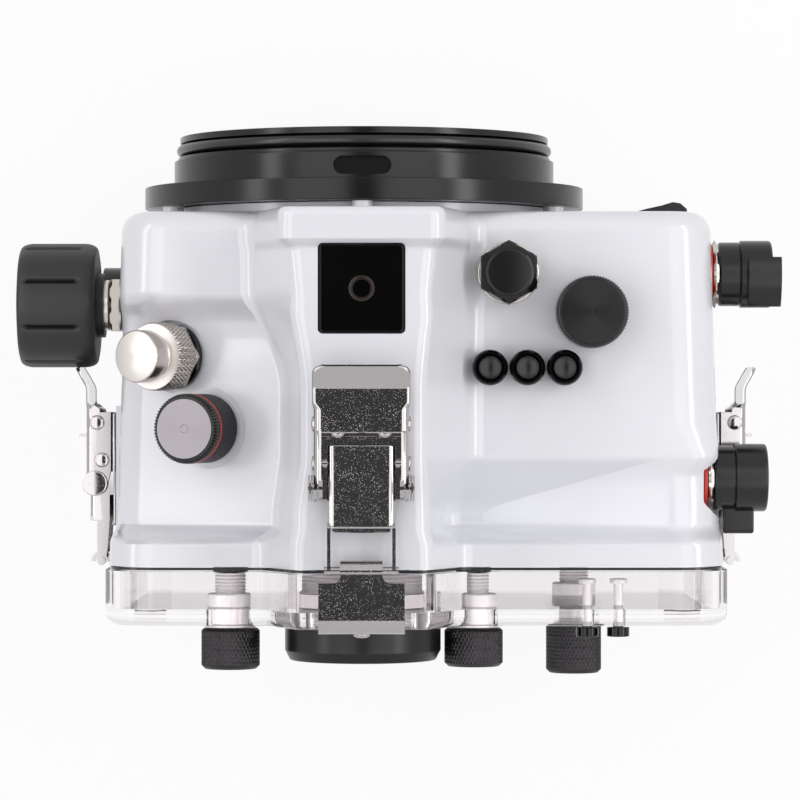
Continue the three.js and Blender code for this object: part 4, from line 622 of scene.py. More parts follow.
ring = turned("port_ring_turned", rung([
    (PORT_BORE_R, 0), (FLANGE_R, 0), (FLANGE_R, FLANGE_T), (CYLINDER_R, FLANGE_T),
    (CYLINDER_R, CYLINDER_END), (LAND_R, CYLINDER_END), (LAND_R, LAND_END), (GROOVE_R, LAND_END),
    (GROOVE_R, GROOVE_END), (LIP_R, GROOVE_END), (LIP_R, RING_END), (PORT_BORE_R, RING_END),
]), PORT_SIDES)
keyway_half = (KEYWAY_L - KEYWAY_W) / 2
keyway_y = FLANGE_REAR_Y + (FLANGE_T + CYLINDER_END) / 2
keyway = prism([
    ((keyway_half if math.cos(a) >= 0 else -keyway_half) + KEYWAY_W / 2 * math.cos(a),
     keyway_y + KEYWAY_W / 2 * math.sin(a))
    for a in [2 * math.pi * (i + 0.5) / 32 for i in range(32)]
], PORT_Z + CYLINDER_R - KEYWAY_DEPTH, PORT_Z + CYLINDER_R + KEYWAY_DEPTH)
cut(seated(ring, (0, FLANGE_REAR_Y, PORT_Z), FORWARD), keyway)
black_anodised = grained(
    "black_anodised_aluminium", (0.0042, 0.0034, 0.0038), (0.0064, 0.0055, 0.006), (0.18, 0.25),
    scale=1500, bump=0.12, Specular_IOR_Level=0.32)
dressed(smoothed(ring), black_anodised, "root", ["port_mount_ring"])

# Port cord
# A greased black rubber cord, stretched into the groove of the port ring. It is what seals the
# lens port, and nothing but its own stretch holds it.
CORD_R, CORD_RING_R = 1.75, 57.1


def fitted(piece, place, out, material, node, body="root", angle=32, spin=0):
    """Seats, smooths and dresses a piece that stands for one solid."""
    return dressed(smoothed(seated(piece, place, out, spin), angle), material, body, [node])


cord_y = FLANGE_REAR_Y + (LAND_END + GROOVE_END) / 2
cord = turned("port_cord", [
    (CORD_RING_R + CORD_R * math.cos(math.pi * k / 10), CORD_R * math.sin(math.pi * k / 10)) for k in range(21)
], PORT_SIDES)
black_rubber = grained(
    "black_rubber", (0.003, 0.003, 0.0033), (0.006, 0.006, 0.0066), (0.22, 0.34), scale=600, bump=0.1)
fitted(cord, (0, cord_y, PORT_Z), FORWARD, black_rubber, "port_o_ring")


# Accessory plate
# A square black plate let into the spine and screwed down from inside, with a chamfered hole for
# a quarter-inch screw. Its polished edges catch the light.
PLATE_BEVEL = 0.7
PLATE_HOLE_R, PLATE_MOUTH_R = 3, 3.8
PLATE_FLOOR = 0.6
THREAD_PITCH, THREAD_DEPTH = 1.1, 0.42


def thread(radius, low, high):
    """Profile points of a screw thread, as grooves round a cylinder between two heights."""
    turns = max(1, round((high - low) / THREAD_PITCH))
    pitch = (high - low) / turns
    points = []
    for i in range(turns):
        points += [(radius, low + pitch * i), (radius - THREAD_DEPTH, low + pitch * (i + 0.5))]
    return [*points, (radius, high)]


def faced(piece, material, test):
    """Gives a second material to the faces whose centre and normal, in the piece, pass a test."""
    piece.data.materials.append(material)
    for face in piece.data.polygons:
        if test(face.center / MM, face.normal):
            face.material_index = len(piece.data.materials) - 1
    return piece


def slab(name, x0, x1, y0, y1, z0, z1, corner, edge, steps=3):
    """A level block with round corners and round upper and lower edges."""
    layers = []
    for c, s in quarter(steps):
        inset = edge * (1 - s)
        layers.append((edge * (1 - c), oblong(
            x0 + inset, x1 - inset, y0 + inset, y1 - inset, max(corner - inset, edge / 2))))
    lower = [(z0 + up, outline) for up, outline in layers]
    upper = [(z1 - up, outline) for up, outline in reversed(layers)]
    return stacked(name, lower + upper)


plate = slab("accessory_plate", -PLATE_HALF, PLATE_HALF, PLATE_REAR_Y, PLATE_FRONT_Y,
             PLATE_Z - PLATE_T, PLATE_Z, 1.2, PLATE_BEVEL, 2)
plate_middle = (PLATE_REAR_Y + PLATE_FRONT_Y) / 2
mouth = PLATE_MOUTH_R - PLATE_HOLE_R
hole = turned("plate_hole", [
    (0, PLATE_FLOOR - PLATE_T), *thread(PLATE_HOLE_R, PLATE_FLOOR - PLATE_T, -mouth), (PLATE_MOUTH_R, 0),
    (PLATE_MOUTH_R, 2), (0, 2)], 64)
hole.matrix_world = Matrix.Translation(Vector((0, plate_middle, PLATE_Z)) * MM)
cut(plate, hole)
gloss_black = grained(
    "gloss_black", (0.001, 0.0008, 0.001), (0.002, 0.0017, 0.0019), (0.06, 0.1), scale=500, bump=0.03,
    Specular_IOR_Level=0.3)
dressed(smoothed(plate, 20), gloss_black, "root", ["top_mount_plate"])
# The chamfer round the plate's hole gets a lighter metallic colour. This is partly the bare machined metal and partly
# a painted highlight ring round the hole.
bare_edge_and_highlight = grained(
    "machined_edge_painted_highlight", (0.09, 0.075, 0.07), (0.16, 0.135, 0.125), (0.2, 0.35), scale=900, bump=0.1, Metallic=0.8)
hole_middle = Vector((0, plate_middle, PLATE_Z))
faced(plate, bare_edge_and_highlight, lambda at, out: (
    (at - hole_middle).length < PLATE_MOUTH_R + GAP and at.z < PLATE_Z - 0.02 and out.z > -0.1 and (
        at.z > PLATE_Z - mouth - 1.2)))


# Clear back and its seal
# The rear half of the housing, moulded in clear polycarbonate so that the camera's screen can be
# seen. Its edge is round, it is hollow towards the shell, and it closes on a thin black seal.
BACKWARD = (0, -1, 0)
SEAL_T, SEAL_W = 0.7, 3
BACK_PROUD, BACK_WALL, BACK_PLATE_T, BACK_DEPTH, BACK_EDGE_R = 1.3, 4.5, 5, 16.5, 4
BACK_INNER_Y = JOINT_Y - GAP - SEAL_T - GAP
BACK_OUTER_Y = BACK_INNER_Y - BACK_DEPTH
EYE_Z, EYE_BARREL_R = 110, 18.5
BACK_KNOBS = {"a": (33.8, 105, 11.6), "b": (67.6, 34, 18.6), "c": (-40.5, 105, 12.4)}
BACK_BUTTONS = [(68.8, 100), (78.3, 100)]
BACK_GLAND_R = 7


def rim(inset):
    return section(JOINT_Y, RIM, inset, steps=6)


def back_post(radius, x, z, low=-BACK_PLATE_T - 2, high=2, sides=64):
    return seated(post(radius, low, high, sides), (x, BACK_OUTER_Y, z), BACKWARD)


edges = [(BACK_OUTER_Y + BACK_EDGE_R * (1 - s), rim(BACK_EDGE_R * (1 - c) - BACK_PROUD)) for c, s in quarter(8)]
back = loft("clear_back_moulding", [(BACK_INNER_Y, rim(-BACK_PROUD)), *edges])
hollow = loft("back_hollow", [
    (BACK_INNER_Y + 2, rim(BACK_WALL - BACK_PROUD)), (BACK_OUTER_Y + BACK_PLATE_T, rim(BACK_WALL - BACK_PROUD))])
cut(back, hollow, back_post(EYE_BARREL_R + GAP, 0, EYE_Z, sides=96),
    *[back_post(BACK_GLAND_R + GAP, x, z) for x, z, length in BACK_KNOBS.values()],
    *[back_post(1.85, x, z, sides=32) for x, z in BACK_BUTTONS])

TRAPPED_DEPTH = 3.5


def lets_light_in(material, tint):
    """Lets lamp light pass through a clear material, and rays that are caught inside its walls leave it."""
    tree = material.node_tree
    rays = node_of(tree, "ShaderNodeLightPath").outputs
    trapped = maths(tree, "GREATER_THAN", rays["Ray Depth"], TRAPPED_DEPTH)
    straight = maths(tree, "MAXIMUM", rays["Is Shadow Ray"], trapped)
    passed = node_of(tree, "ShaderNodeBsdfTransparent", Color=(*tint, 1)).outputs[0]
    glass = tree.nodes["Principled BSDF"].outputs[0]
    return shown_as(material, node_of(tree, "ShaderNodeMixShader", straight, glass, passed).outputs[0])


clear_plastic = lets_light_in(grained(
    "clear_polycarbonate", (0.95, 0.935, 0.94), (0.975, 0.965, 0.965), (0.02, 0.05), scale=300, bump=0.02,
    Transmission_Weight=1, IOR=1.26), (0.85, 0.83, 0.835))
dressed(smoothed(back), clear_plastic, "root", ["clear_back"])

seal_front = JOINT_Y - GAP
seal_in = (WALL - SEAL_W) / 2
seal = loft("back_seal_cord", [(y, rim(seal_in)) for y in (seal_front, seal_front - SEAL_T)])
cut(seal, loft("seal_hole", [(y, rim(seal_in + SEAL_W)) for y in (seal_front + 2, seal_front - SEAL_T - 2)]))
dressed(smoothed(seal), black_rubber, "root", ["back_seal"])


# Eyepiece
# A threaded black barrel through the clear back, held by a flange inside and by a screwed ring
# outside, with a round lens under the ring's lip.
EYE_BORE_R, EYE_BARREL_REACH = 15.5, 11.5
EYE_NUT_R, EYE_NUT_T = 22, 4
EYE_RING_R, EYE_RING_L, EYE_RING_CHAMFER = 23.7, 10.8, 3
EYE_LIP_T, EYE_LIP_W, EYE_LENS_T = 1.2, 2.2, 2.6

eye = (0, BACK_OUTER_Y, EYE_Z)
barrel_in = -EYE_BARREL_REACH - BACK_PLATE_T + GAP
ring_end = GAP + EYE_RING_L
lip_start = ring_end - EYE_LIP_T
lens_rear = lip_start - GAP
barrel_end = lens_rear - EYE_LENS_T - GAP
nut_front = -BACK_PLATE_T - GAP
barrel = turned("eyepiece_barrel_turned", [
    (EYE_BORE_R, barrel_in), *thread(EYE_BARREL_R, barrel_in, nut_front - EYE_NUT_T),
    (EYE_NUT_R, nut_front - EYE_NUT_T), (EYE_NUT_R, nut_front), *thread(EYE_BARREL_R, nut_front, barrel_end),
    (EYE_BORE_R, barrel_end), (EYE_BORE_R, barrel_in)])
fitted(barrel, eye, BACKWARD, gloss_black, "eyepiece_barrel")
# The black barrel's threads inside the back are painted light grey. This is painted light: it stands for how lit they
# look through the clear back.
thread_painted_light = grained(
    "thread_painted_light", (0.5, 0.47, 0.48), (0.72, 0.7, 0.71), (0.2, 0.3), scale=600, bump=0.1, Metallic=0.3)
faced(barrel, thread_painted_light, lambda at, out: at.z < 0 and at.xy.length > EYE_BARREL_R - 1)
ring_bore = EYE_BARREL_R + GAP
eye_ring = turned("eyepiece_ring_turned", rung([
    (ring_bore, GAP), (EYE_RING_R, GAP), (EYE_RING_R, ring_end - EYE_RING_CHAMFER),
    (EYE_RING_R - EYE_RING_CHAMFER / 2, ring_end), (ring_bore - EYE_LIP_W, ring_end),
    (ring_bore - EYE_LIP_W, lip_start), (ring_bore, lip_start)], 0.5), 256)
satin_black = grained(
    "satin_black_ring", (0.0025, 0.002, 0.0025), (0.004, 0.0034, 0.0038), (0.3, 0.36), scale=700, bump=0.05,
    Specular_IOR_Level=0.35)
fitted(eye_ring, eye, BACKWARD, satin_black, "eyepiece_ring")
lens_foot = lens_rear - EYE_LENS_T
dome_rise = EYE_LENS_T / 3
lens = turned("eyepiece_lens_ground", [
    (0, lens_foot), (EYE_BARREL_R, lens_foot),
    *[(EYE_BARREL_R * (1 - k / 12), lens_rear - dome_rise * (1 - k / 12) ** 2) for k in range(12)], (0, lens_rear)])
lens_glass = grained(
    "coated_lens_glass", (0.9, 0.93, 0.96), (0.93, 0.95, 0.97), (0.0, 0.02), scale=50, bump=0.005,
    Transmission_Weight=1, IOR=1.5)
fitted(lens, eye, BACKWARD, lens_glass, "eyepiece_lens")


# Zoom control
# A lobed rubber knob on the left turns the lens's zoom ring through a gear inside. Behind it sit
# a hub with a nickel collar, a nickel hexagon gland and a thin red seal on the wall.
RUN_GAP = 0.35
SHELL_GLAND_DEPTH = 11
ZOOM_HEX, ZOOM_HUB, ZOOM_END = (1, 4.5), (4.85, 8.65), 32.55
ZOOM_HEX_R, ZOOM_SEAL_R, ZOOM_COLLAR_END = 9.3, 7.9, 6.4
ZOOM_R, ZOOM_HUB_R, ZOOM_LOBES, ZOOM_GROOVE = 19.3, 10, 8, 1.6
ZOOM_EDGE, ZOOM_ROUND = 4, 2
ZOOM_GROOVE_SPAN, ZOOM_GROOVE_RUN, ZOOM_GROOVE_W = (13.2, 30.6), 1.2, 0.03
LOBE_RISE, LOBE_FROM = 0.35, 0.45
ZOOM_TEETH, ZOOM_TOOTH, ZOOM_GEAR_R, ZOOM_GEAR_T = 24, 1.8, 12, 4
SHAFT_R = 3


def flat_of(corner_r):
    """Half the width of a hexagon across its flats."""
    return corner_r * math.cos(math.pi / 6)


def hexagonal(corner_r):
    """Relief that cuts a turned shape to a hexagon, so a cone at its end becomes its chamfer."""
    flat = flat_of(corner_r)

    def relief(angle, height, radius):
        return min(radius, flat / math.cos((angle + math.pi / 6) % (math.pi / 3) - math.pi / 6))
    return relief


def sleeved(name, sleeve_r, depth, bore_r, head, sides=64, relief=None):
    """A gland: a bored head, by its (radius, height) points, on a threaded sleeve through the wall."""
    return turned(name, [(bore_r, -depth), *thread(sleeve_r, -depth, head[0][1]), *head,
                         (bore_r, head[-1][1]), (bore_r, -depth)], sides, relief)


def gland(name, corner_r, low, high):
    """A gland in the shell's wall with a hexagon head that has chamfered corners."""
    flat = flat_of(corner_r)
    chamfer = (corner_r - flat) / 2
    return sleeved(name, SLEEVE_R, SHELL_GLAND_DEPTH, SHAFT_R + RUN_GAP, [
        (flat, low), (corner_r, low + chamfer), (corner_r, high - chamfer), (flat, high)], 96, hexagonal(corner_r))


def seal_ring(name, radius, bore_r, low, high):
    return turned(name, rung([(bore_r, low), (radius, low), (radius, high), (bore_r, high)], (high - low) / 3, 3))


def rows(low, high, radius, step):
    """Profile points up a straight side, close enough together to carry a relief."""
    count = max(1, round((high - low) / step))
    return [(radius, low + (high - low) * k / count) for k in range(count + 1)]


def lobed(angle, height, radius):
    """Relief of the zoom grip: broad lobes between narrow grooves."""
    step = 2 * math.pi / ZOOM_LOBES
    along = abs((angle + step) % step - step / 2)
    inside = min(height - ZOOM_GROOVE_SPAN[0], ZOOM_GROOVE_SPAN[1] - height)
    groove = ZOOM_GROOVE * min(1, max(0, inside / ZOOM_GROOVE_RUN)) * math.exp(-(along / ZOOM_GROOVE_W) ** 2)
    dome = LOBE_RISE * (1 - math.cos(2 * math.pi * along / step)) / 2
    share = min(1, max(0, radius / ZOOM_R - LOBE_FROM) / (1 - LOBE_FROM))
    return radius - (groove + LOBE_RISE - dome) * share


nickel = grained(
    "nickel_plate", (0.56, 0.51, 0.475), (0.63, 0.58, 0.545), (0.2, 0.32), scale=1200, bump=0.05, Metallic=1)
red_rubber = grained(
    "red_rubber", (0.5, 0.028, 0.018), (0.62, 0.04, 0.025), (0.4, 0.55), scale=700, bump=0.1)
zoom_seal = seal_ring("zoom_seal_ring", ZOOM_SEAL_R, SLEEVE_R + GAP, GAP, ZOOM_HEX[0] - GAP)
fitted(zoom_seal, ZOOM_PLACE, LEFT, red_rubber, "zoom_seal")
zoom_gland = gland("zoom_hex_gland", ZOOM_HEX_R, *ZOOM_HEX)
fitted(zoom_gland, ZOOM_PLACE, LEFT, nickel, "zoom_gland", angle=25, spin=30)

grip_profile = [
    (ZOOM_HUB_R, ZOOM_HUB[1]),
    *[(ZOOM_R - ZOOM_ROUND + ZOOM_ROUND * s, ZOOM_HUB[1] + ZOOM_EDGE * (1 - c)) for c, s in quarter(8)],
    *rows(ZOOM_HUB[1] + ZOOM_EDGE + 0.5, ZOOM_END - ZOOM_EDGE - 0.5, ZOOM_R, 0.8),
    *[(ZOOM_R - ZOOM_ROUND + ZOOM_ROUND * c, ZOOM_END - ZOOM_EDGE * (1 - s)) for c, s in quarter(8)]]
gear_end = -SHELL_GLAND_DEPTH - RUN_GAP
zoom = turned("zoom_grip", [
    (0, gear_end - 2), (SHAFT_R, gear_end - 2), (SHAFT_R, ZOOM_HUB[0]), (ZOOM_SEAL_R - FINE, ZOOM_HUB[0]),
    (ZOOM_SEAL_R, ZOOM_HUB[0] + FINE), (ZOOM_SEAL_R, ZOOM_COLLAR_END), (ZOOM_HUB_R, ZOOM_COLLAR_END),
    *grip_profile, (ZOOM_R * 0.6, ZOOM_END + 0.05), (0, ZOOM_END - 0.2)],
    288, lobed)


def toothed(angle, height, radius):
    """Relief of the gear inside, between whose teeth the lens's ring runs."""
    if radius <= SHAFT_R + GAP:
        return radius
    wave = (angle * ZOOM_TEETH / (2 * math.pi)) % 1
    return radius - ZOOM_TOOTH * min(1, max(0, abs(wave - 0.5) * 4 - 0.6))


gear_low = gear_end - ZOOM_GEAR_T
zoom_gear = turned("zoom_gear", rung([
    (0, gear_low), (ZOOM_GEAR_R, gear_low), (ZOOM_GEAR_R, gear_end), (0, gear_end)], 0.2), 192, toothed)
joined(zoom, zoom_gear)
grip_rubber = grained(
    "grip_rubber", (0.0065, 0.006, 0.0075), (0.011, 0.0105, 0.0125), (0.42, 0.55), scale=1600, bump=0.3)
fitted(zoom, ZOOM_PLACE, LEFT, grip_rubber, "zoom_knob", "zoom_knob", 40)
faced(zoom, nickel, lambda at, out: ZOOM_HUB[0] - 1 < at.z < ZOOM_COLLAR_END - 0.01)


# Focus lever
# A black plastic lever low on the left, on its own hub, that reaches down beside the wall. Its
# shaft runs through the shell and ends in an arm inside.
FOCUS_HUB_R, FOCUS_HUB_END, FOCUS_REACH, FOCUS_W, FOCUS_T = 10, 9.8, 19, 8, 4
LEVER_SOFT = 0.6


def inner_arm(end, spin=0):
    """The arm on a shaft's inner end that presses the camera's own control."""
    arm = slab("inner_arm", -2.5, 2.5, -13, 2.5, end - 3, end, 2.4, 0.4)
    arm.data.transform(Matrix.Rotation(math.radians(spin), 4, "Z"))
    return arm


focus = turned("focus_lever_moulded", rung([
    (0, GAP), (FOCUS_HUB_R, GAP), (FOCUS_HUB_R, FOCUS_HUB_END), (0, FOCUS_HUB_END)], LEVER_SOFT, 4))
focus_tab = slab("focus_tab", -FOCUS_REACH, 0, -FOCUS_W / 2, FOCUS_W / 2, FOCUS_HUB_END - FOCUS_T,
                 FOCUS_HUB_END, 3.5, LEVER_SOFT)
focus_in = -WALL - 0.5 - 0.7
joined(focus, focus_tab, post(SLEEVE_R - RUN_GAP, focus_in - 1, 2), inner_arm(focus_in))
black_knob = grained(
    "satin_black_knob", (0.0045, 0.004, 0.0045), (0.008, 0.0072, 0.0078), (0.2, 0.28), scale=900, bump=0.12,
    Specular_IOR_Level=0.4)
fitted(focus, FOCUS_PLACE, LEFT, black_knob, "focus_lever", "focus_lever")


# Strobe connector and its cap
# A black socket stands on the tilted left floor. Its nickel cap has a hexagon foot, a knurled
# collar, a neck and a turned disc, and screws on over the socket's nose.
STROBE_BASE_R, STROBE_BASE_END, STROBE_NOSE_R, STROBE_NOSE_END = 9.85, 2.3, 7, 9.4
STROBE_SOCKET_R, STROBE_SOCKET_D = 4.6, 5
CAP_R, CAP_START, CAP_HEX_END, CAP_ROOF = 10.4, 2.65, 6, 12.5
CAP_NECK_R, CAP_NECK_END, CAP_DISC_R, CAP_DISC_END = 6.5, 15, 7.9, 20.9
CAP_BORE_R, CAP_ROOF_T = 7.35, 2.4


def knurl(count, pitch, depth, from_r, low=-100, high=100):
    """Relief of a diamond knurl on a piece's widest part, between two heights."""
    def relief(angle, height, radius):
        if radius < from_r or not low < height < high:
            return radius
        around, along = angle * count / (2 * math.pi), height / pitch
        one, other = (abs((around + side * along / 2) % 1 - 0.5) * 2 for side in (1, -1))
        return radius - depth * max(one, other) ** 2.5
    return relief


strobe_out = tilted_left(STROBE_TILT)
connector = turned("strobe_socket", [
    (0, -SHELL_GLAND_DEPTH), *thread(SLEEVE_R, -SHELL_GLAND_DEPTH, GAP), (STROBE_BASE_R - FINE, GAP),
    (STROBE_BASE_R, GAP + FINE), (STROBE_BASE_R, STROBE_BASE_END - FINE), (STROBE_BASE_R - FINE, STROBE_BASE_END),
    *thread(STROBE_NOSE_R, STROBE_BASE_END, STROBE_NOSE_END), (STROBE_SOCKET_R, STROBE_NOSE_END),
    (STROBE_SOCKET_R, STROBE_NOSE_END - STROBE_SOCKET_D), (0, STROBE_NOSE_END - STROBE_SOCKET_D)])
fitted(connector, STROBE_PLACE, strobe_out, gloss_black, "strobe_connector")
cap_hexagon = hexagonal(CAP_R)
cap_knurl = knurl(60, 1.05, 0.55, CAP_R - 0.2, CAP_HEX_END - 2, CAP_ROOF - 0.3)


def cap_relief(angle, height, radius):
    """The cap's foot is a hexagon with chamfered corners that runs out into the knurled collar."""
    if radius < CAP_BORE_R + 0.1:
        return radius
    flat = cap_hexagon(angle + math.pi / 6, height, radius)
    chamfer = flat + max(0, height - CAP_HEX_END + 2.2) * 0.9
    return min(cap_knurl(angle, height, radius), chamfer)


cap = turned("strobe_cap_turned", [
    (CAP_BORE_R, CAP_START), *rows(CAP_START, CAP_ROOF - 0.5, CAP_R, 0.2),
    (CAP_R - 0.5, CAP_ROOF), (CAP_NECK_R + 0.3, CAP_ROOF), (CAP_NECK_R, CAP_ROOF + 0.3),
    (CAP_NECK_R, CAP_NECK_END - 0.2), (CAP_DISC_R - 0.4, CAP_NECK_END), (CAP_DISC_R, CAP_NECK_END + 0.4),
    (CAP_DISC_R, CAP_DISC_END - 0.5), (CAP_DISC_R - 0.5, CAP_DISC_END), (0, CAP_DISC_END),
    (0, CAP_ROOF - CAP_ROOF_T), (CAP_BORE_R, CAP_ROOF - CAP_ROOF_T), (CAP_BORE_R, CAP_START)], 396, cap_relief)
turned_nickel = grained(
    "nickel_turned_face", (0.7, 0.66, 0.63), (0.74, 0.7, 0.67), (0.42, 0.5), scale=1500, bump=0.04, Metallic=1,
    Anisotropic=0.6)
fitted(cap, STROBE_PLACE, strobe_out, nickel, "strobe_cap", "strobe_cap", 50)
faced(cap, turned_nickel, lambda at, out: out.z > 0.9)


# Mode knob
# A black knob with a finely knurled body, a red ring in its groove, a toothed front rim and a
# turned grey face with a small centre mark. Its shaft ends in a cup over the camera's own dial.
MODE_R, MODE_START, MODE_END = 10.5, 1.85, 18.25
MODE_GROOVE, MODE_GROOVE_D, MODE_RING_R, MODE_RING_W = (13.65, 14.65), 1.4, 10.55, 0.55
MODE_FACE_R, MODE_TEETH = 8.9, 66
MODE_CUP_R, MODE_CUP_L = 10, 6


def rim_teeth(teeth, depth, outer_r, from_height):
    """Relief that cuts fine straight teeth into the widest part of a knob above a height."""
    def relief(angle, height, radius):
        if radius < outer_r - depth * 2 or height < from_height:
            return radius
        wave = abs((angle * teeth / (2 * math.pi)) % 1 - 0.5) * 2
        return radius - depth * min(1, max(0, wave * 2 - 0.6))
    return relief


def hidden_gland(name, radius, depth):
    """A round head under a knob, on a threaded sleeve."""
    return sleeved(name, SLEEVE_R, depth, SHAFT_R + RUN_GAP, [(radius, GAP), (radius, GAP + 1.2)])


mode_out = tilted_left(MODE_TILT)
mode_gland = hidden_gland("mode_gland_turned", MODE_R - 2, SHELL_GLAND_DEPTH)
fitted(mode_gland, MODE_PLACE, mode_out, nickel, "mode_gland")
shaft_in = -SHELL_GLAND_DEPTH - RUN_GAP
cup_r = MODE_CUP_R - 2
mode_teeth = rim_teeth(MODE_TEETH, 0.4, MODE_R, MODE_END - 1.3)
mode_knurl = knurl(MODE_TEETH, 1, 0.4, MODE_R - 0.1, MODE_START, MODE_GROOVE[0])


def mode_relief(angle, height, radius):
    return mode_teeth(angle, height, mode_knurl(angle, height, radius))


mode = turned("mode_knob_turned", [
    (0, shaft_in - 2), (cup_r, shaft_in - 2), (cup_r, shaft_in - MODE_CUP_L), (MODE_CUP_R, shaft_in - MODE_CUP_L),
    (MODE_CUP_R, shaft_in), (SHAFT_R, shaft_in), (SHAFT_R, MODE_START), (MODE_R - 0.4, MODE_START),
    *rows(MODE_START + 0.4, MODE_GROOVE[0] - 0.2, MODE_R, 0.2), (MODE_R - 0.2, MODE_GROOVE[0]),
    (MODE_R - MODE_GROOVE_D, MODE_GROOVE[0]), (MODE_R - MODE_GROOVE_D, MODE_GROOVE[1]),
    (MODE_R - 0.2, MODE_GROOVE[1]), (MODE_R, MODE_GROOVE[1] + 0.2), (MODE_R, MODE_END - 1.2),
    (MODE_R - 0.7, MODE_END - 0.4), (MODE_FACE_R + 0.15, MODE_END - 0.25), (MODE_FACE_R, MODE_END),
    (1.3, MODE_END), (1.15, MODE_END - 0.18), (0, MODE_END - 0.18)],
    MODE_TEETH * 6, mode_relief)
grey_face = grained(
    "turned_grey_face", (0.25, 0.23, 0.25), (0.31, 0.29, 0.31), (0.34, 0.42), scale=1300, bump=0.08,
    Metallic=0.7, Anisotropic=0.5)
fitted(mode, MODE_PLACE, mode_out, black_knob, "mode_knob", "mode_knob")
knurled_black = grained(
    "knurled_black_anodised", (0.022, 0.02, 0.022), (0.05, 0.046, 0.05), (0.2, 0.3),
    scale=900, bump=0.1, Metallic=0.8)
faced(mode, knurled_black, lambda at, out: MODE_START + 0.4 < at.z < MODE_GROOVE[0] and at.xy.length > MODE_R - 1)
faced(mode, gloss_black, lambda at, out: MODE_GROOVE[1] < at.z < MODE_END - 1.3 and at.xy.length > MODE_R - 1)
faced(mode, grey_face, lambda at, out: at.z > MODE_END - 0.22 and at.xy.length < MODE_FACE_R)
mode_middle = sum(MODE_GROOVE) / 2
mode_ring = seal_ring("mode_ring", MODE_RING_R, MODE_R - MODE_GROOVE_D + GAP,
                      mode_middle - MODE_RING_W / 2, mode_middle + MODE_RING_W / 2)
fitted(mode_ring, MODE_PLACE, mode_out, red_rubber, "mode_knob_ring", "mode_knob")


# Accessory plug
# A black anodised hexagon plug with a domed, chamfered top. It is screwed down on a nickel washer
# and closes a hole that is kept for an accessory.
DECK_GLAND_DEPTH = 7
PLUG_R, PLUG_START, PLUG_END, WASHER_R, WASHER_END = 9.7, 1.8, 10.8, 9.3, 1.5
washer = seal_ring("plug_washer_turned", WASHER_R, SLEEVE_R + GAP, GAP, WASHER_END)
fitted(washer, PLUG_PLACE, UP, nickel, "plug_washer")
plug_flat = flat_of(PLUG_R)
plug = turned("plug_hexagon", [
    (0, -DECK_GLAND_DEPTH), *thread(SLEEVE_R, -DECK_GLAND_DEPTH, PLUG_START), (plug_flat, PLUG_START),
    (PLUG_R, PLUG_START + 0.6), (PLUG_R, PLUG_END - 3), (PLUG_R - 0.5, PLUG_END - 2.1),
    (plug_flat - 0.2, PLUG_END - 1.1), (plug_flat - 1.3, PLUG_END - 0.25), (plug_flat - 2.2, PLUG_END),
    (0, PLUG_END)], 144, hexagonal(PLUG_R))
fitted(plug, PLUG_PLACE, UP, black_anodised, "accessory_plug", angle=24)


# Dial knob
# A black knob with a finely knurled side, a thin bright chamfer and a turned face with a small
# centre mark. Its shaft ends in a wheel inside.
DIAL_R, DIAL_START, DIAL_END, WHEEL_R, WHEEL_T = 10.8, 1.85, 15.85, 5.4, 3.5
dial_gland = hidden_gland("dial_gland_turned", DIAL_R - 2, DECK_GLAND_DEPTH)
fitted(dial_gland, DIAL_PLACE, UP, nickel, "dial_gland")


def stem(wheel_top, shaft_r, start):
    """Profile points of a wheel on a shaft's inner end, up to the foot of the knob."""
    return [(0, wheel_top - WHEEL_T), (WHEEL_R, wheel_top - WHEEL_T), (WHEEL_R, wheel_top), (shaft_r, wheel_top),
            (shaft_r, start)]


dial = turned("dial_knob_turned", [
    *stem(-DECK_GLAND_DEPTH - RUN_GAP, SHAFT_R, DIAL_START),
    (DIAL_R - 0.4, DIAL_START), (DIAL_R, DIAL_START + 0.4), (DIAL_R, DIAL_END - 1.5),
    (DIAL_R - 0.45, DIAL_END - 0.95), (DIAL_R - 1.1, DIAL_END - 0.75), (DIAL_R - 1.3, DIAL_END - 0.1),
    (DIAL_R - 1.55, DIAL_END), (1.2, DIAL_END), (1.05, DIAL_END - 0.2), (0, DIAL_END - 0.2)],
    432, rim_teeth(72, 0.3, DIAL_R, DIAL_START))
black_face = grained(
    "turned_black_face", (0.018, 0.017, 0.018), (0.026, 0.025, 0.026), (0.3, 0.36), scale=1300, bump=0.08,
    Metallic=0.8, Anisotropic=0.75)
fitted(dial, DIAL_PLACE, UP, black_knob, "dial_knob", "dial_knob")
faced(dial, black_face, lambda at, out: at.z > DIAL_END - 0.3 and out.z > 0.9)


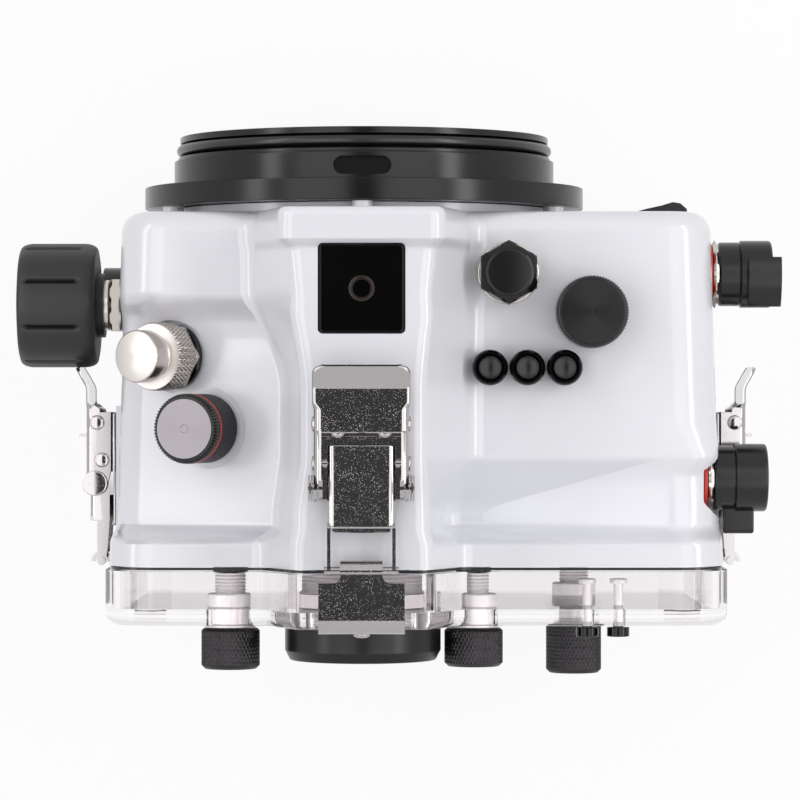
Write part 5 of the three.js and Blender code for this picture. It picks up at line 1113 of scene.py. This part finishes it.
# Top buttons
# Three black collars with threaded sleeves stand on the right deck. In each one a dished push
# button slides on a sprung rod, down to the camera's own button.
COLLAR_R, COLLAR_END, COLLAR_BORE_R, COLLAR_FLOOR = 5.35, 7.8, 3.75, 1.7
BUTTON_R, BUTTON_TOP, ROD_R, COLLAR_SLEEVE_R = 3.4, 8.4, 1.6, 4
for i, place in enumerate(BUTTON_PLACES, 1):
    collar = sleeved(f"button_collar_turned_{i}", COLLAR_SLEEVE_R, DECK_GLAND_DEPTH, ROD_R + RUN_GAP, [
        (COLLAR_R, GAP), (COLLAR_R, COLLAR_END - 1.1), (COLLAR_R - 0.25, COLLAR_END - 0.45),
        (COLLAR_R - 0.7, COLLAR_END), (COLLAR_BORE_R + 0.25, COLLAR_END), (COLLAR_BORE_R, COLLAR_END - 0.25),
        (COLLAR_BORE_R, COLLAR_FLOOR)], 72)
    fitted(collar, place, UP, gloss_black, f"button_collar_{i}")
    shoulder = COLLAR_FLOOR + 2 + GAP
    button = turned(f"top_button_turned_{i}", [
        (0, -DECK_GLAND_DEPTH - 6), (ROD_R, -DECK_GLAND_DEPTH - 6), (ROD_R, shoulder), (BUTTON_R, shoulder),
        (BUTTON_R, BUTTON_TOP - 0.35), (BUTTON_R - 0.12, BUTTON_TOP - 0.08), (BUTTON_R - 0.4, BUTTON_TOP),
        *[(r, BUTTON_TOP - 0.55 * (1 - (r / (BUTTON_R - 0.4)) ** 2)) for r in (2.6, 2.1, 1.5, 0.8)],
        (0, BUTTON_TOP - 0.55)], 72)
    fitted(button, place, UP, black_knob, f"top_button_{i}", f"top_button_{i}", 40)


# Shutter lever and thumb lever
# Two sprung levers on the right side, each a hub and a cap on a nickel hexagon gland with a red
# seal. The shutter lever has a curved pad for the finger, and the thumb lever a flat tab.
RED_SEAL_R, RED_SEAL_END = 9.6, 1.4
LEVER_HEX, LEVER_START, LEVER_HUB_R, LEVER_HUB_END = (1.7, 3.3), 3.65, 9.8, 9.75
LEVER_GROOVE_R, LEVER_CAP_START, LEVER_CAP_R, LEVER_CAP_END = 9.5, 10.05, 10.3, 19.75
PAD_OUT_R, PAD_IN_R, PAD_FROM, PAD_TO, PAD_Z = 13.7, 6.9, -21, 48, (11.99, 21.95)
TAB_T, TAB_REACH, TAB_Z = 4, 17, (6.55, 15.95)


def lever_hub(name):
    """A collar, a shadow groove and a cap with soft edges, on a shaft with an arm inside."""
    hub = turned(name, [(0, LEVER_START), *rounded([
        (0, LEVER_START, 0), (LEVER_HUB_R, LEVER_START, 0.5), (LEVER_HUB_R, LEVER_HUB_END, 0.5),
        (LEVER_GROOVE_R - 0.3, LEVER_HUB_END, 0.1), (LEVER_GROOVE_R - 0.3, LEVER_CAP_START, 0.1),
        (LEVER_CAP_R, LEVER_CAP_START, 0.5), (LEVER_CAP_R, LEVER_CAP_END, 0.9), (0, LEVER_CAP_END, 0),
    ], 4)[1:]], 128)
    return joined(hub, post(SHAFT_R, shaft_in - 1, LEVER_START + 1))


def softened(piece, width, angle=30, segments=2):
    """Breaks a piece's sharp edges with a narrow round bevel."""
    edge = piece.modifiers.new("soft_edges", "BEVEL")
    edge.width = width * MM
    edge.segments = segments
    edge.limit_method = "ANGLE"
    edge.angle_limit = math.radians(angle)
    edge.harden_normals = False
    return piece


for name, place in (("shutter", SHUTTER_PLACE), ("thumb", THUMB_PLACE)):
    red = seal_ring(f"{name}_seal_ring", RED_SEAL_R, SLEEVE_R + GAP, GAP, RED_SEAL_END)
    fitted(red, place, RIGHT, red_rubber, f"{name}_seal")
    hexagon = gland(f"{name}_hex_gland", NICKEL_HEX_R, *LEVER_HEX)
    fitted(hexagon, place, RIGHT, nickel, f"{name}_gland", angle=25)
    lever = lever_hub(f"{name}_lever_moulded")
    if name == "shutter":
        arc = [math.radians(PAD_FROM + (PAD_TO - PAD_FROM) * k / 12 + 180) for k in range(13)]
        outline = [(radius * math.cos(a), radius * math.sin(a))
                   for radius, along in ((PAD_OUT_R, arc), (PAD_IN_R, arc[::-1])) for a in along]
        joined(lever, prism(outline, *PAD_Z), inner_arm(shaft_in, 90))
    else:
        tab = slab("thumb_tab", -TAB_T / 2, TAB_T / 2, -TAB_REACH, 0, *TAB_Z, 1.6, 0.7)
        joined(lever, tab, inner_arm(shaft_in))
    softened(seated(lever, place, RIGHT), 0.35)
    dressed(smoothed(lever), black_knob, f"{name}_lever", [f"{name}_lever"])


# Front lever
# A low black plastic paddle on the lens side, thick at one end, on a short shaft through the shell
# with an arm on its inner end.
FRONT_HALF_L, FRONT_W, FRONT_T = 8, 9, 3.9
paddle_side = [(-1, 0), (1, 0), (1, 0.22), (0.6, 0.45), (0, 0.72), (-0.45, 1), (-0.75, 0.9), (-1, 0.45)]
paddle = skinned("front_lever_moulded", [
    [(-side, FRONT_HALF_L * along, GAP + FRONT_T * up) for along, up in paddle_side]
    for side in (-FRONT_W / 2, FRONT_W / 2)])
paddle.data.transform(Matrix.Rotation(math.pi / 2, 4, "Z"))
front_in = -WALL - RUN_GAP
joined(paddle, post(2, front_in - 1, 1), inner_arm(front_in, 180))
softened(seated(paddle, FRONT_LEVER_PLACE, FORWARD), 0.6, segments=3)
dressed(smoothed(paddle), black_knob, "front_lever", ["front_lever"])


# Back knobs and buttons
# Three diamond-knurled black knobs stand on threaded nickel glands in the clear back, each with a
# wheel inside. Two small push buttons sit beside the right-hand one.
BACK_KNOB_R, BACK_SHAFT_R, BACK_GLAND_IN, BACK_HEAD_END = 8.95, 2.5, 15, 1.5
BACK_NECK_R, BACK_NECK_END = 4.8, -8.8
KNURL_COUNT, KNURL_DEPTH, KNURL_PITCH = 44, 0.32, 1.25

back_knurl = knurl(KNURL_COUNT, KNURL_PITCH, KNURL_DEPTH, BACK_KNOB_R - 0.3)
# The back glands and the back buttons' inner rods are nickel, but they are painted near white and barely metallic.
# The extra lightness is painted light, for the light that reaches them through the clear back.
nickel_painted_bright = grained(
    "nickel_painted_light", (0.82, 0.8, 0.81), (0.92, 0.91, 0.915), (0.25, 0.4), scale=900, bump=0.06, Metallic=0.15)
for key, (x, z, length) in BACK_KNOBS.items():
    place = (x, BACK_OUTER_Y, z)
    head_r = BACK_KNOB_R - 1.2
    sleeve = sleeved(f"back_gland_turned_{key}", BACK_NECK_R, BACK_GLAND_IN, BACK_SHAFT_R + RUN_GAP, [
        (BACK_GLAND_R - 0.4, BACK_NECK_END), (BACK_GLAND_R, BACK_NECK_END + 0.4), (BACK_GLAND_R, GAP),
        (head_r, GAP), (head_r, BACK_HEAD_END)])
    fitted(sleeve, place, BACKWARD, nickel_painted_bright, f"back_gland_{key}")
    start = BACK_HEAD_END + RUN_GAP
    end = start + length
    knob = turned(f"back_knob_turned_{key}", [
        *stem(-BACK_GLAND_IN - RUN_GAP, BACK_SHAFT_R, start),
        (BACK_KNOB_R - 0.8, start), (BACK_KNOB_R - 0.3, start + 0.5),
        *rows(start + 0.8, end - 1.1, BACK_KNOB_R, 0.22),
        (BACK_KNOB_R - 0.3, end - 0.8), (BACK_KNOB_R - 1.1, end), (0, end)], KNURL_COUNT * 6, back_knurl)
    body = f"back_knob_{key}"
    fitted(knob, place, BACKWARD, black_knob, body, body, 50)
    faced(knob, knurled_black, lambda at, out: at.z > BACK_HEAD_END and at.xy.length > BACK_KNOB_R - 1)

for i, (x, z) in enumerate(BACK_BUTTONS, 1):
    start, end, inner = GAP + 1.6, GAP + 4.5, -BACK_PLATE_T - 8
    button = turned(f"back_button_turned_{i}", rung([
        (0, inner), (2.7, inner), (2.7, inner + 1.5), (1.5, inner + 1.5), (1.5, start), (3.45, start), (3.45, end),
        (0, end)], 0.3, 3), 64)
    body = f"back_button_{i}"
    fitted(button, (x, BACK_OUTER_Y, z), BACKWARD, gloss_black, body, body)
    # The rod inside gets the nickel that is painted near white, which is painted light.
    faced(button, nickel_painted_bright, lambda at, out: at.z < GAP)


# Draw latches
# Three over-centre latches in polished stainless sheet hold the back. Each has a base on the shell,
# a hand lever with a bent tip, a link with two arms and a hook bar, a catch screwed over the back's
# edge and a safety lock.
LATCHES = {"top": ((0, 0, SPINE_Z), 0), "left": ((RIM_LEFT, 0, SIDE_LATCH_Z), -90),
           "right": ((RIM_RIGHT, 0, SIDE_LATCH_Z), 90)}
SHEET = 1
MAIN, LINK_PIN, TIE, HOOK_BAR = (-25.8, 6.6), (-18.6, 4.4), (-7, 5.9), (JOINT_Y, 4.8)
BASE_HALF, BASE_Y, EAR_R, EAR_T = 12.5, (-39, -3.8), 3.6, 1.2
LEVER_IN, SIDE_LOW, SIDE_END_R = 12.9, 1.7, 4
WEB_TOP, WEB_Y, TIP = 9.4, (-9.3, -1.5), (9.8, 12.8)
RIVET_R, RIVET_T, PIN_R, LINK_PIN_R, HOOK_BAR_R, HOOK_BAR_HALF = 2.3, 0.8, 1.5, 1.3, 1.2, 10.9
LINK_HALF, LINK_Y, LINK_UP, ARM_UP = 10.05, (-37.5, -13.3), (2.4, 8.4), 6.2
CATCH_LOW, NECK_HALF, NECK_REAR, CATCH_HALF, CURL_ROOF = BACK_PROUD + GAP, 6.2, -54.8, 12.7, 7.3
CATCH_DROP, SCREW_R, FILLET_R = 8, 2.65, 2.2
LOCK_Y, LOCK_TOP, TONGUE_W, LOCK_T, LOCK_EYE_R, LOCK_BORE_R = -11.4, 12.4, 2.4, 0.8, 2.35, 1.35
TAIL_HALF, HEAD_DISCS = 8.8, ((3.9, 0, 0.62), (1.5, 0.5, 1), (3.9, 0.85, 1.45))


def sheet_across(name, points, x0, x1):
    """A piece cut from sheet: an outline in the latch's (y, z), pulled across it from x0 to x1."""
    return skinned(name, [[(x, y, z) for y, z in points] for x in sorted((x0, x1))])


def arc_points(centre, radius, start, stop, steps):
    """Points on an arc round a centre, by its angles in degrees."""
    turns = [math.radians(start + (stop - start) * k / steps) for k in range(steps + 1)]
    return [(centre[0] + radius * math.cos(t), centre[1] + radius * math.sin(t)) for t in turns]


def pin_across(centre, radius, x0, x1, dome=0, sides=32):
    """A pin along X, with a domed end on its outer side where one is asked for."""
    low, high = sorted((x0, x1))
    profile = [(0, low), (radius, low), (radius, high), (0, high)]
    if dome:
        caps = [(radius * math.cos(math.radians(a)), dome * math.sin(math.radians(a))) for a in range(0, 91, 15)]
        end = [(r, high - dome + h) for r, h in caps] if high > 0 else [(r, low + dome - h) for r, h in caps]
        profile = [(0, low), (radius, low), *end] if high > 0 else [*reversed(end), (radius, high), (0, high)]
    pin = turned("pin", profile, sides)
    pin.data.transform(Matrix.Translation((0, centre[0] * MM, centre[1] * MM)) @ Matrix.Rotation(math.pi / 2, 4, "Y"))
    return pin


def both(make):
    """The same piece on both sides of the latch."""
    return [make(side) for side in (1, -1)]


def on_latch(piece, place, turn, name):
    """Sets a latch piece on its seat and gives it its full name."""
    piece.name = name
    piece.matrix_world = Matrix.Translation(Vector(place) * MM) @ Matrix.Rotation(math.radians(turn), 4, "Y")
    return piece


def latch_base():
    """A plate on the shell with an upturned end, two ears and the two head rivets outside."""
    plate = slab("base", -BASE_HALF, BASE_HALF, MAIN[0] - EAR_R, BASE_Y[1], GAP, GAP + SHEET, 1, 0.25)
    tail = slab("tail", -TAIL_HALF, TAIL_HALF, BASE_Y[0], MAIN[0], GAP, GAP + SHEET, 1, 0.25)
    ear = [(MAIN[0] - EAR_R, GAP), (MAIN[0] + EAR_R, GAP), *arc_points(MAIN, EAR_R, 0, 180, 20)]
    ears = both(lambda side: sheet_across("ear", ear, side * (BASE_HALF - EAR_T), side * BASE_HALF))
    head_in = LEVER_IN + SHEET + RUN_GAP
    shanks = both(lambda side: pin_across(MAIN, PIN_R, side * (BASE_HALF - EAR_T), side * head_in + side * 0.2))
    heads = [pin_across(MAIN, radius, side * (head_in + start), side * (head_in + stop), 0.25)
             for side in (1, -1) for radius, start, stop in HEAD_DISCS]
    upturn = block(-EAR_R, EAR_R, BASE_Y[0], BASE_Y[0] + SHEET, GAP, LINK_UP[0] - RUN_GAP)
    return joined(plate, tail, *ears, *shanks, *heads, upturn)


HANDLE_STEPS, BEND_R, LINK_BEND = 20, 2.2, 2
TIP_BEND, TIP_SLOPE, WAIST = (3, 4.4), 0.56, (-3.1, -0.4)
WEB_STATIONS, WAIST_STATIONS = (WEB_Y[0], -8.2, -7.2, -6, -5), (-4.2, WAIST[0], -2.75, -2.4, -2.1, -1.8)
MOON_X, MOON_R, MOON_DEPTH, TIP_R = 6.9, 2.4, 1.9, 2.8


def handle_line():
    """The strip of the handle: flat, a short bend, then straight up to the tip, with its tilt."""
    line = []
    for k in range(HANDLE_STEPS + 1):
        y = WEB_Y[1] + (TIP[0] - WEB_Y[1]) * k / HANDLE_STEPS
        bent = min(1, max(0, (y - TIP_BEND[0]) / (TIP_BEND[1] - TIP_BEND[0])))
        rise = TIP_SLOPE * (bent ** 2 / 2 * (TIP_BEND[1] - TIP_BEND[0]) + max(0, y - TIP_BEND[1]))
        line.append((y, WEB_TOP + rise, math.atan(TIP_SLOPE * bent)))
    return line


def waist(y):
    """How far the handle has widened at a place along it, from 0 between its sides to 1."""
    share = min(1, max(0, (y - WAIST[0]) / (WAIST[1] - WAIST[0])))
    return share * share * (3 - 2 * share)


def handle_half(y):
    """Half the width of the handle: narrow between its sides, wide past the waist, round at the tip."""
    narrow = LEVER_IN + SHEET
    half = narrow + (HANDLE_HALF - narrow) * waist(y)
    into = y - (TIP[0] - TIP_R)
    return half if into <= 0 else half - TIP_R + math.sqrt(max(0, TIP_R ** 2 - into ** 2))


def bent_section(half, bend, drop, y, z, tilt=0, steps=5):
    """Section across a strip of sheet whose two sides are bent down, with the sheet's thickness."""
    outer = [(half - bend + bend * c, bend * s - bend) for c, s in quarter(steps)]
    inner_r = max(bend - SHEET, 0.05)
    inner = [(half - max(bend, SHEET) + inner_r * c, inner_r * s - inner_r - SHEET) for c, s in quarter(steps)]
    right = [(half, -drop), *outer]
    under = [(inner[0][0], -drop), *inner]
    flat = [*right, *[(-x, h) for x, h in reversed(right)], *[(-x, h) for x, h in under], *reversed(under)]
    return [(x, y - h * math.sin(tilt), z + h * math.cos(tilt)) for x, h in flat]


def moon(x):
    """A round boss under the handle's front edge, of which a crescent shows past it."""
    boss = turned("moon", [
        (0, -SHEET - 0.6), (MOON_R, -SHEET - 0.6), (MOON_R, -SHEET), (MOON_R * 0.88, -SHEET * 0.6),
        (MOON_R * 0.6, -0.28), (0, -0.15)], 40)
    boss.data.transform(Matrix.Translation(Vector((x, WEB_Y[0] + MOON_R - MOON_DEPTH, WEB_TOP)) * MM))
    return boss


def latch_lever():
    """The hand lever: a strip with bent sides and a bent tip on two side plates, with rivets and a link pin."""
    rings = [bent_section(LEVER_IN + SHEET, BEND_R, BEND_R + 2, y, WEB_TOP) for y in WEB_STATIONS]
    strip = [(y, WEB_TOP, 0) for y in WAIST_STATIONS]
    for y, z, tilt in strip + handle_line():
        bend = BEND_R + (SHEET + 0.1 - BEND_R) * waist(y)
        rings.append(bent_section(handle_half(y), bend, bend + 0.02 + 2 * (1 - waist(y)), y, z, tilt))
    lever = skinned("lever", rings)
    out = LEVER_IN + SHEET
    side = [(WEB_Y[0] + 1, SIDE_LOW), (WEB_Y[0] + 1, WEB_TOP - BEND_R), (MAIN[0] + 1, WEB_TOP - BEND_R),
            *arc_points(MAIN, SIDE_END_R, 90, 240, 20), (MAIN[0] + SIDE_END_R, SIDE_LOW)]
    front = [(WEB_Y[0] + 0.9, SIDE_LOW), (BASE_Y[1], SIDE_LOW), (BASE_Y[1], WEB_TOP - BEND_R - 1),
             (WEB_Y[0] + 0.9, WEB_TOP - BEND_R - 1)]
    rail = [(x, WEB_TOP + h) for x, h in rail_section(out)]
    bore = pin_across(MAIN, PIN_R + RUN_GAP, -out - 2, out + 2)
    sides = both(lambda s: sheet_across("side", side, s * LEVER_IN, s * out))
    fronts = both(lambda s: sheet_across("front", front, s * (LEVER_IN + 0.01), s * (out - 0.01)))
    rails = both(lambda s: skinned(
        "rail", [[(s * x, y, z) for x, z in rail] for y in (MAIN[0] + 1.2, WEB_Y[0] + 0.4)]))
    rivets = [pin_across(at, RIVET_R, s * (out - 0.5), s * (out + RIVET_T), 0.5)
              for at in (LINK_PIN, TIE) for s in (1, -1)]
    stubs = both(lambda s: pin_across(TIE, 1, s * (BASE_HALF - EAR_T - GAP), s * out))
    lip = pin_across((WEB_Y[0], WEB_TOP - 0.45), 0.45, -LEVER_IN, LEVER_IN)
    moons = both(lambda s: moon(s * MOON_X))
    joined(lever, *sides, *fronts, *rails, *rivets, *stubs, lip, *moons, pin_across(LINK_PIN, LINK_PIN_R, -out, out))
    return cut(lever, bore)


def rail_section(out, steps=6):
    """The bent upper edge of a side plate, seen from its end."""
    outer = [(out - BEND_R + BEND_R * c, BEND_R * s - BEND_R) for c, s in quarter(steps)]
    inner_r = BEND_R - SHEET
    inner = [(out - BEND_R + inner_r * c, inner_r * s - BEND_R) for c, s in quarter(steps)[::-1]]
    return [(out, -BEND_R - 0.3), *outer, *inner, (out - SHEET, -BEND_R - 0.3)]


def latch_link():
    """The link: a flanged plate with a rolled rear edge, two arms and the hook bar."""
    half = LINK_HALF
    ends = (LINK_Y[0], LINK_Y[0] + 0.25, LINK_Y[1] - 0.25, LINK_Y[1])
    web = skinned("link", [bent_section(half - (0.15 if k in (0, 3) else 0), LINK_BEND, LINK_BEND + 2, y,
                                        LINK_UP[1] - (0.15 if k in (0, 3) else 0)) for k, y in enumerate(ends)])
    below = LINK_UP[1] - LINK_BEND - 0.2
    flange = [(LINK_Y[1] - SHEET, LINK_UP[0] + SHEET), (LINK_Y[1] - 0.4, below), (LINK_Y[0], below),
              *arc_points(HOOK_BAR, ARM_UP - HOOK_BAR[1], 90, 270, 12), (LINK_Y[0], LINK_UP[0]),
              (LINK_PIN[0], LINK_UP[0])]
    flanges = both(lambda s: sheet_across("arm", flange, s * (half - SHEET), s * (half - 0.02)))
    bar = pin_across(HOOK_BAR, HOOK_BAR_R, -HOOK_BAR_HALF, HOOK_BAR_HALF)
    roll = pin_across((LINK_Y[0] + 0.7, LINK_UP[1] - 0.75), 0.75, -half + 0.1, half - 0.1)
    link = joined(web, *flanges, bar, roll)
    return cut(link, pin_across(LINK_PIN, LINK_PIN_R + RUN_GAP, -half - 2, half + 2))


def latch_catch():
    """The catch: a strap screwed over the back's edge, with a neck curled up over the hook bar."""
    rear = BACK_OUTER_Y - GAP
    curl_r = (CURL_ROOF - CATCH_LOW - SHEET) / 2
    curl = (HOOK_BAR[0] + HOOK_BAR_R + 0.8 - curl_r, CATCH_LOW + SHEET + curl_r)
    neck = [(NECK_REAR, CATCH_LOW), *arc_points(curl, curl_r + SHEET, -90, 90, 18),
            *arc_points(curl, curl_r, 90, -90, 18), (NECK_REAR, CATCH_LOW + SHEET)]
    bend = 4 - GAP
    middle = (rear + bend, CATCH_LOW - bend)
    strap = [(NECK_REAR + SHEET, CATCH_LOW), (NECK_REAR + SHEET, CATCH_LOW + SHEET),
             *arc_points(middle, bend + SHEET, 90, 180, 12),
             (rear - SHEET, CATCH_LOW - CATCH_DROP - SHEET), (rear, CATCH_LOW - CATCH_DROP - SHEET),
             *arc_points(middle, bend, 180, 90, 12)]
    waist = sheet_across("neck", neck, -NECK_HALF, NECK_HALF)
    wide = sheet_across("strap", strap, -CATCH_HALF, CATCH_HALF)
    shoulders = []
    front = NECK_REAR + SHEET + FILLET_R
    for s in (1, -1):
        fillet = arc_points((NECK_HALF + FILLET_R, front), FILLET_R, 180, 270, 8)
        outline = [(NECK_HALF - 1, front - FILLET_R - 0.4), (NECK_HALF - 1, front), *fillet,
                   (NECK_HALF + FILLET_R, front - FILLET_R - 0.4)]
        outline = [(s * x, y) for x, y in outline]
        shoulders.append(prism(outline if s < 0 else outline[::-1], CATCH_LOW, CATCH_LOW + SHEET))
    screw = turned("screw", [(0, -0.5), (SCREW_R, -0.5), (SCREW_R, 0.1), (SCREW_R * 0.93, 0.6),
                             (SCREW_R * 0.7, 1.0), (SCREW_R * 0.35, 1.18), (0, 1.2)], 48)
    screw.data.transform(Matrix.Translation(Vector((0, rear - SHEET, CATCH_LOW - CATCH_DROP + SCREW_R)) * MM)
                         @ Matrix.Rotation(math.pi / 2, 4, "X"))
    return joined(wide, waist, screw, *shoulders)


def latch_lock():
    """The safety lock: a cross strip on the front rivets with a small tongue for the thumb."""
    half = LEVER_IN - 0.4
    high = WEB_TOP - SHEET - RUN_GAP
    tab = [(LOCK_Y, high - SHEET), (LOCK_Y, high), (LOCK_Y + 2, high), *arc_points(TIE, LOCK_EYE_R, 60, -120, 14)]
    tabs = both(lambda s: sheet_across("tab", tab, s * (half - SHEET), s * half))
    strip = block(-half, half, LOCK_Y, LOCK_Y + LOCK_T, high - SHEET, high)
    tongue = block(-TONGUE_W / 2, TONGUE_W / 2, LOCK_Y, LOCK_Y + LOCK_T, high - SHEET, LOCK_TOP)
    return cut(joined(strip, tongue, *tabs), pin_across(TIE, LOCK_BORE_R, -half - 2, half + 2))


SPECK_SCALE, SPECK_SIZE, SPECK_PATCHES, SPECK_ROUGH = 2100, 0.4, 0.3, 0.5


def speckled_steel():
    """Polished stainless sheet: a near mirror with many fine specks that scatter light."""
    made = grained("polished_stainless", (0.38, 0.36, 0.365), (0.45, 0.43, 0.435), (0.05, 0.1), scale=300,
                   bump=0.03, Metallic=1)
    tree = made.node_tree
    gloss = tree.nodes["Principled BSDF"].inputs["Roughness"]
    place = node_of(tree, "ShaderNodeTexCoord").outputs["Object"]
    dots = node_of(tree, "ShaderNodeTexVoronoi", Vector=place, Scale=SPECK_SCALE).outputs["Distance"]
    broad = node_of(tree, "ShaderNodeTexNoise", Vector=place, Scale=260, Detail=3).outputs["Fac"]
    speck = node_of(
        tree, "ShaderNodeMapRange", interpolation_type="SMOOTHSTEP", From_Min=SPECK_SIZE, From_Max=SPECK_SIZE - 0.1,
        To_Min=0, To_Max=0.9, Value=maths(tree, "MULTIPLY_ADD", broad, SPECK_PATCHES, dots))
    plain = gloss.links[0].from_socket
    rough = node_of(
        tree, "ShaderNodeMix", data_type="FLOAT", Factor=speck.outputs[0], A=plain, B=SPECK_ROUGH)
    tree.links.new(rough.outputs[0], gloss)
    return made


stainless = speckled_steel()
LATCH_PIECES = (("base", latch_base, False), ("lever", latch_lever, True), ("link", latch_link, True),
                ("catch", latch_catch, False), ("lock", latch_lock, True))
for side, (place, turn) in LATCHES.items():
    for part, make, moves in LATCH_PIECES:
        node = f"latch_{part}_{side}"
        piece = on_latch(make(), place, turn, f"{node}_pressed")
        softened(piece, 0.15, 40, 1)
        dressed(smoothed(piece, 40), stainless, node if moves else "root", [node])


# Camera tray
# A flat black anodised tray on two runners, with a stop in front and a slot for the tripod screw,
# whose knurled head sits under it.
TRAY_Y, TRAY_X, TRAY_LOW, TRAY_T = (-40, 22), (-42, 62), 12.3, 3
RUNNER_W, RUNNER_LOW, RUNNER_TOP = 6, 4.3, 13.8
STOP_X, STOP_T, STOP_Z = (-7, 27), 3, (13.8, 24.3)
SCREW_Y, SLOT_R, HEAD_R, HEAD_Z, THREAD_R, THREAD_TOP = -9, 3.6, 8, (7, 12), 3, 20.3

tray = slab("camera_tray_milled", *TRAY_X, *TRAY_Y, TRAY_LOW, TRAY_LOW + TRAY_T, 4, 0.4)
runners = [slab("runner", x, x + RUNNER_W, *TRAY_Y, RUNNER_LOW, RUNNER_TOP, 1, 0.3)
           for x in (TRAY_X[0], TRAY_X[1] - RUNNER_W)]
stop = slab("stop", *STOP_X, TRAY_Y[0], TRAY_Y[0] + STOP_T, *STOP_Z, 1, 0.4)
slot_hole = post(SLOT_R, TRAY_LOW - 2, TRAY_LOW + TRAY_T + 2)
slot_hole.data.transform(Matrix.Translation((0, SCREW_Y * MM, 0)))
cut(joined(tray, *runners, stop), slot_hole)
dressed(smoothed(tray), black_anodised, "root", ["camera_tray"])
camera_screw = turned("tray_screw_knurled", [
    (0, HEAD_Z[0]), (HEAD_R - 0.6, HEAD_Z[0]), (HEAD_R, HEAD_Z[0] + 0.6), (HEAD_R, HEAD_Z[1] - 0.6),
    (HEAD_R - 0.6, HEAD_Z[1]), *thread(THREAD_R, HEAD_Z[1], THREAD_TOP - 0.5), (THREAD_R - 0.6, THREAD_TOP),
    (0, THREAD_TOP)], 288, rim_teeth(48, 0.35, HEAD_R, HEAD_Z[0]))
seated(camera_screw, (0, SCREW_Y, 0))
dressed(smoothed(camera_screw), stainless, "root", ["tray_screw"])
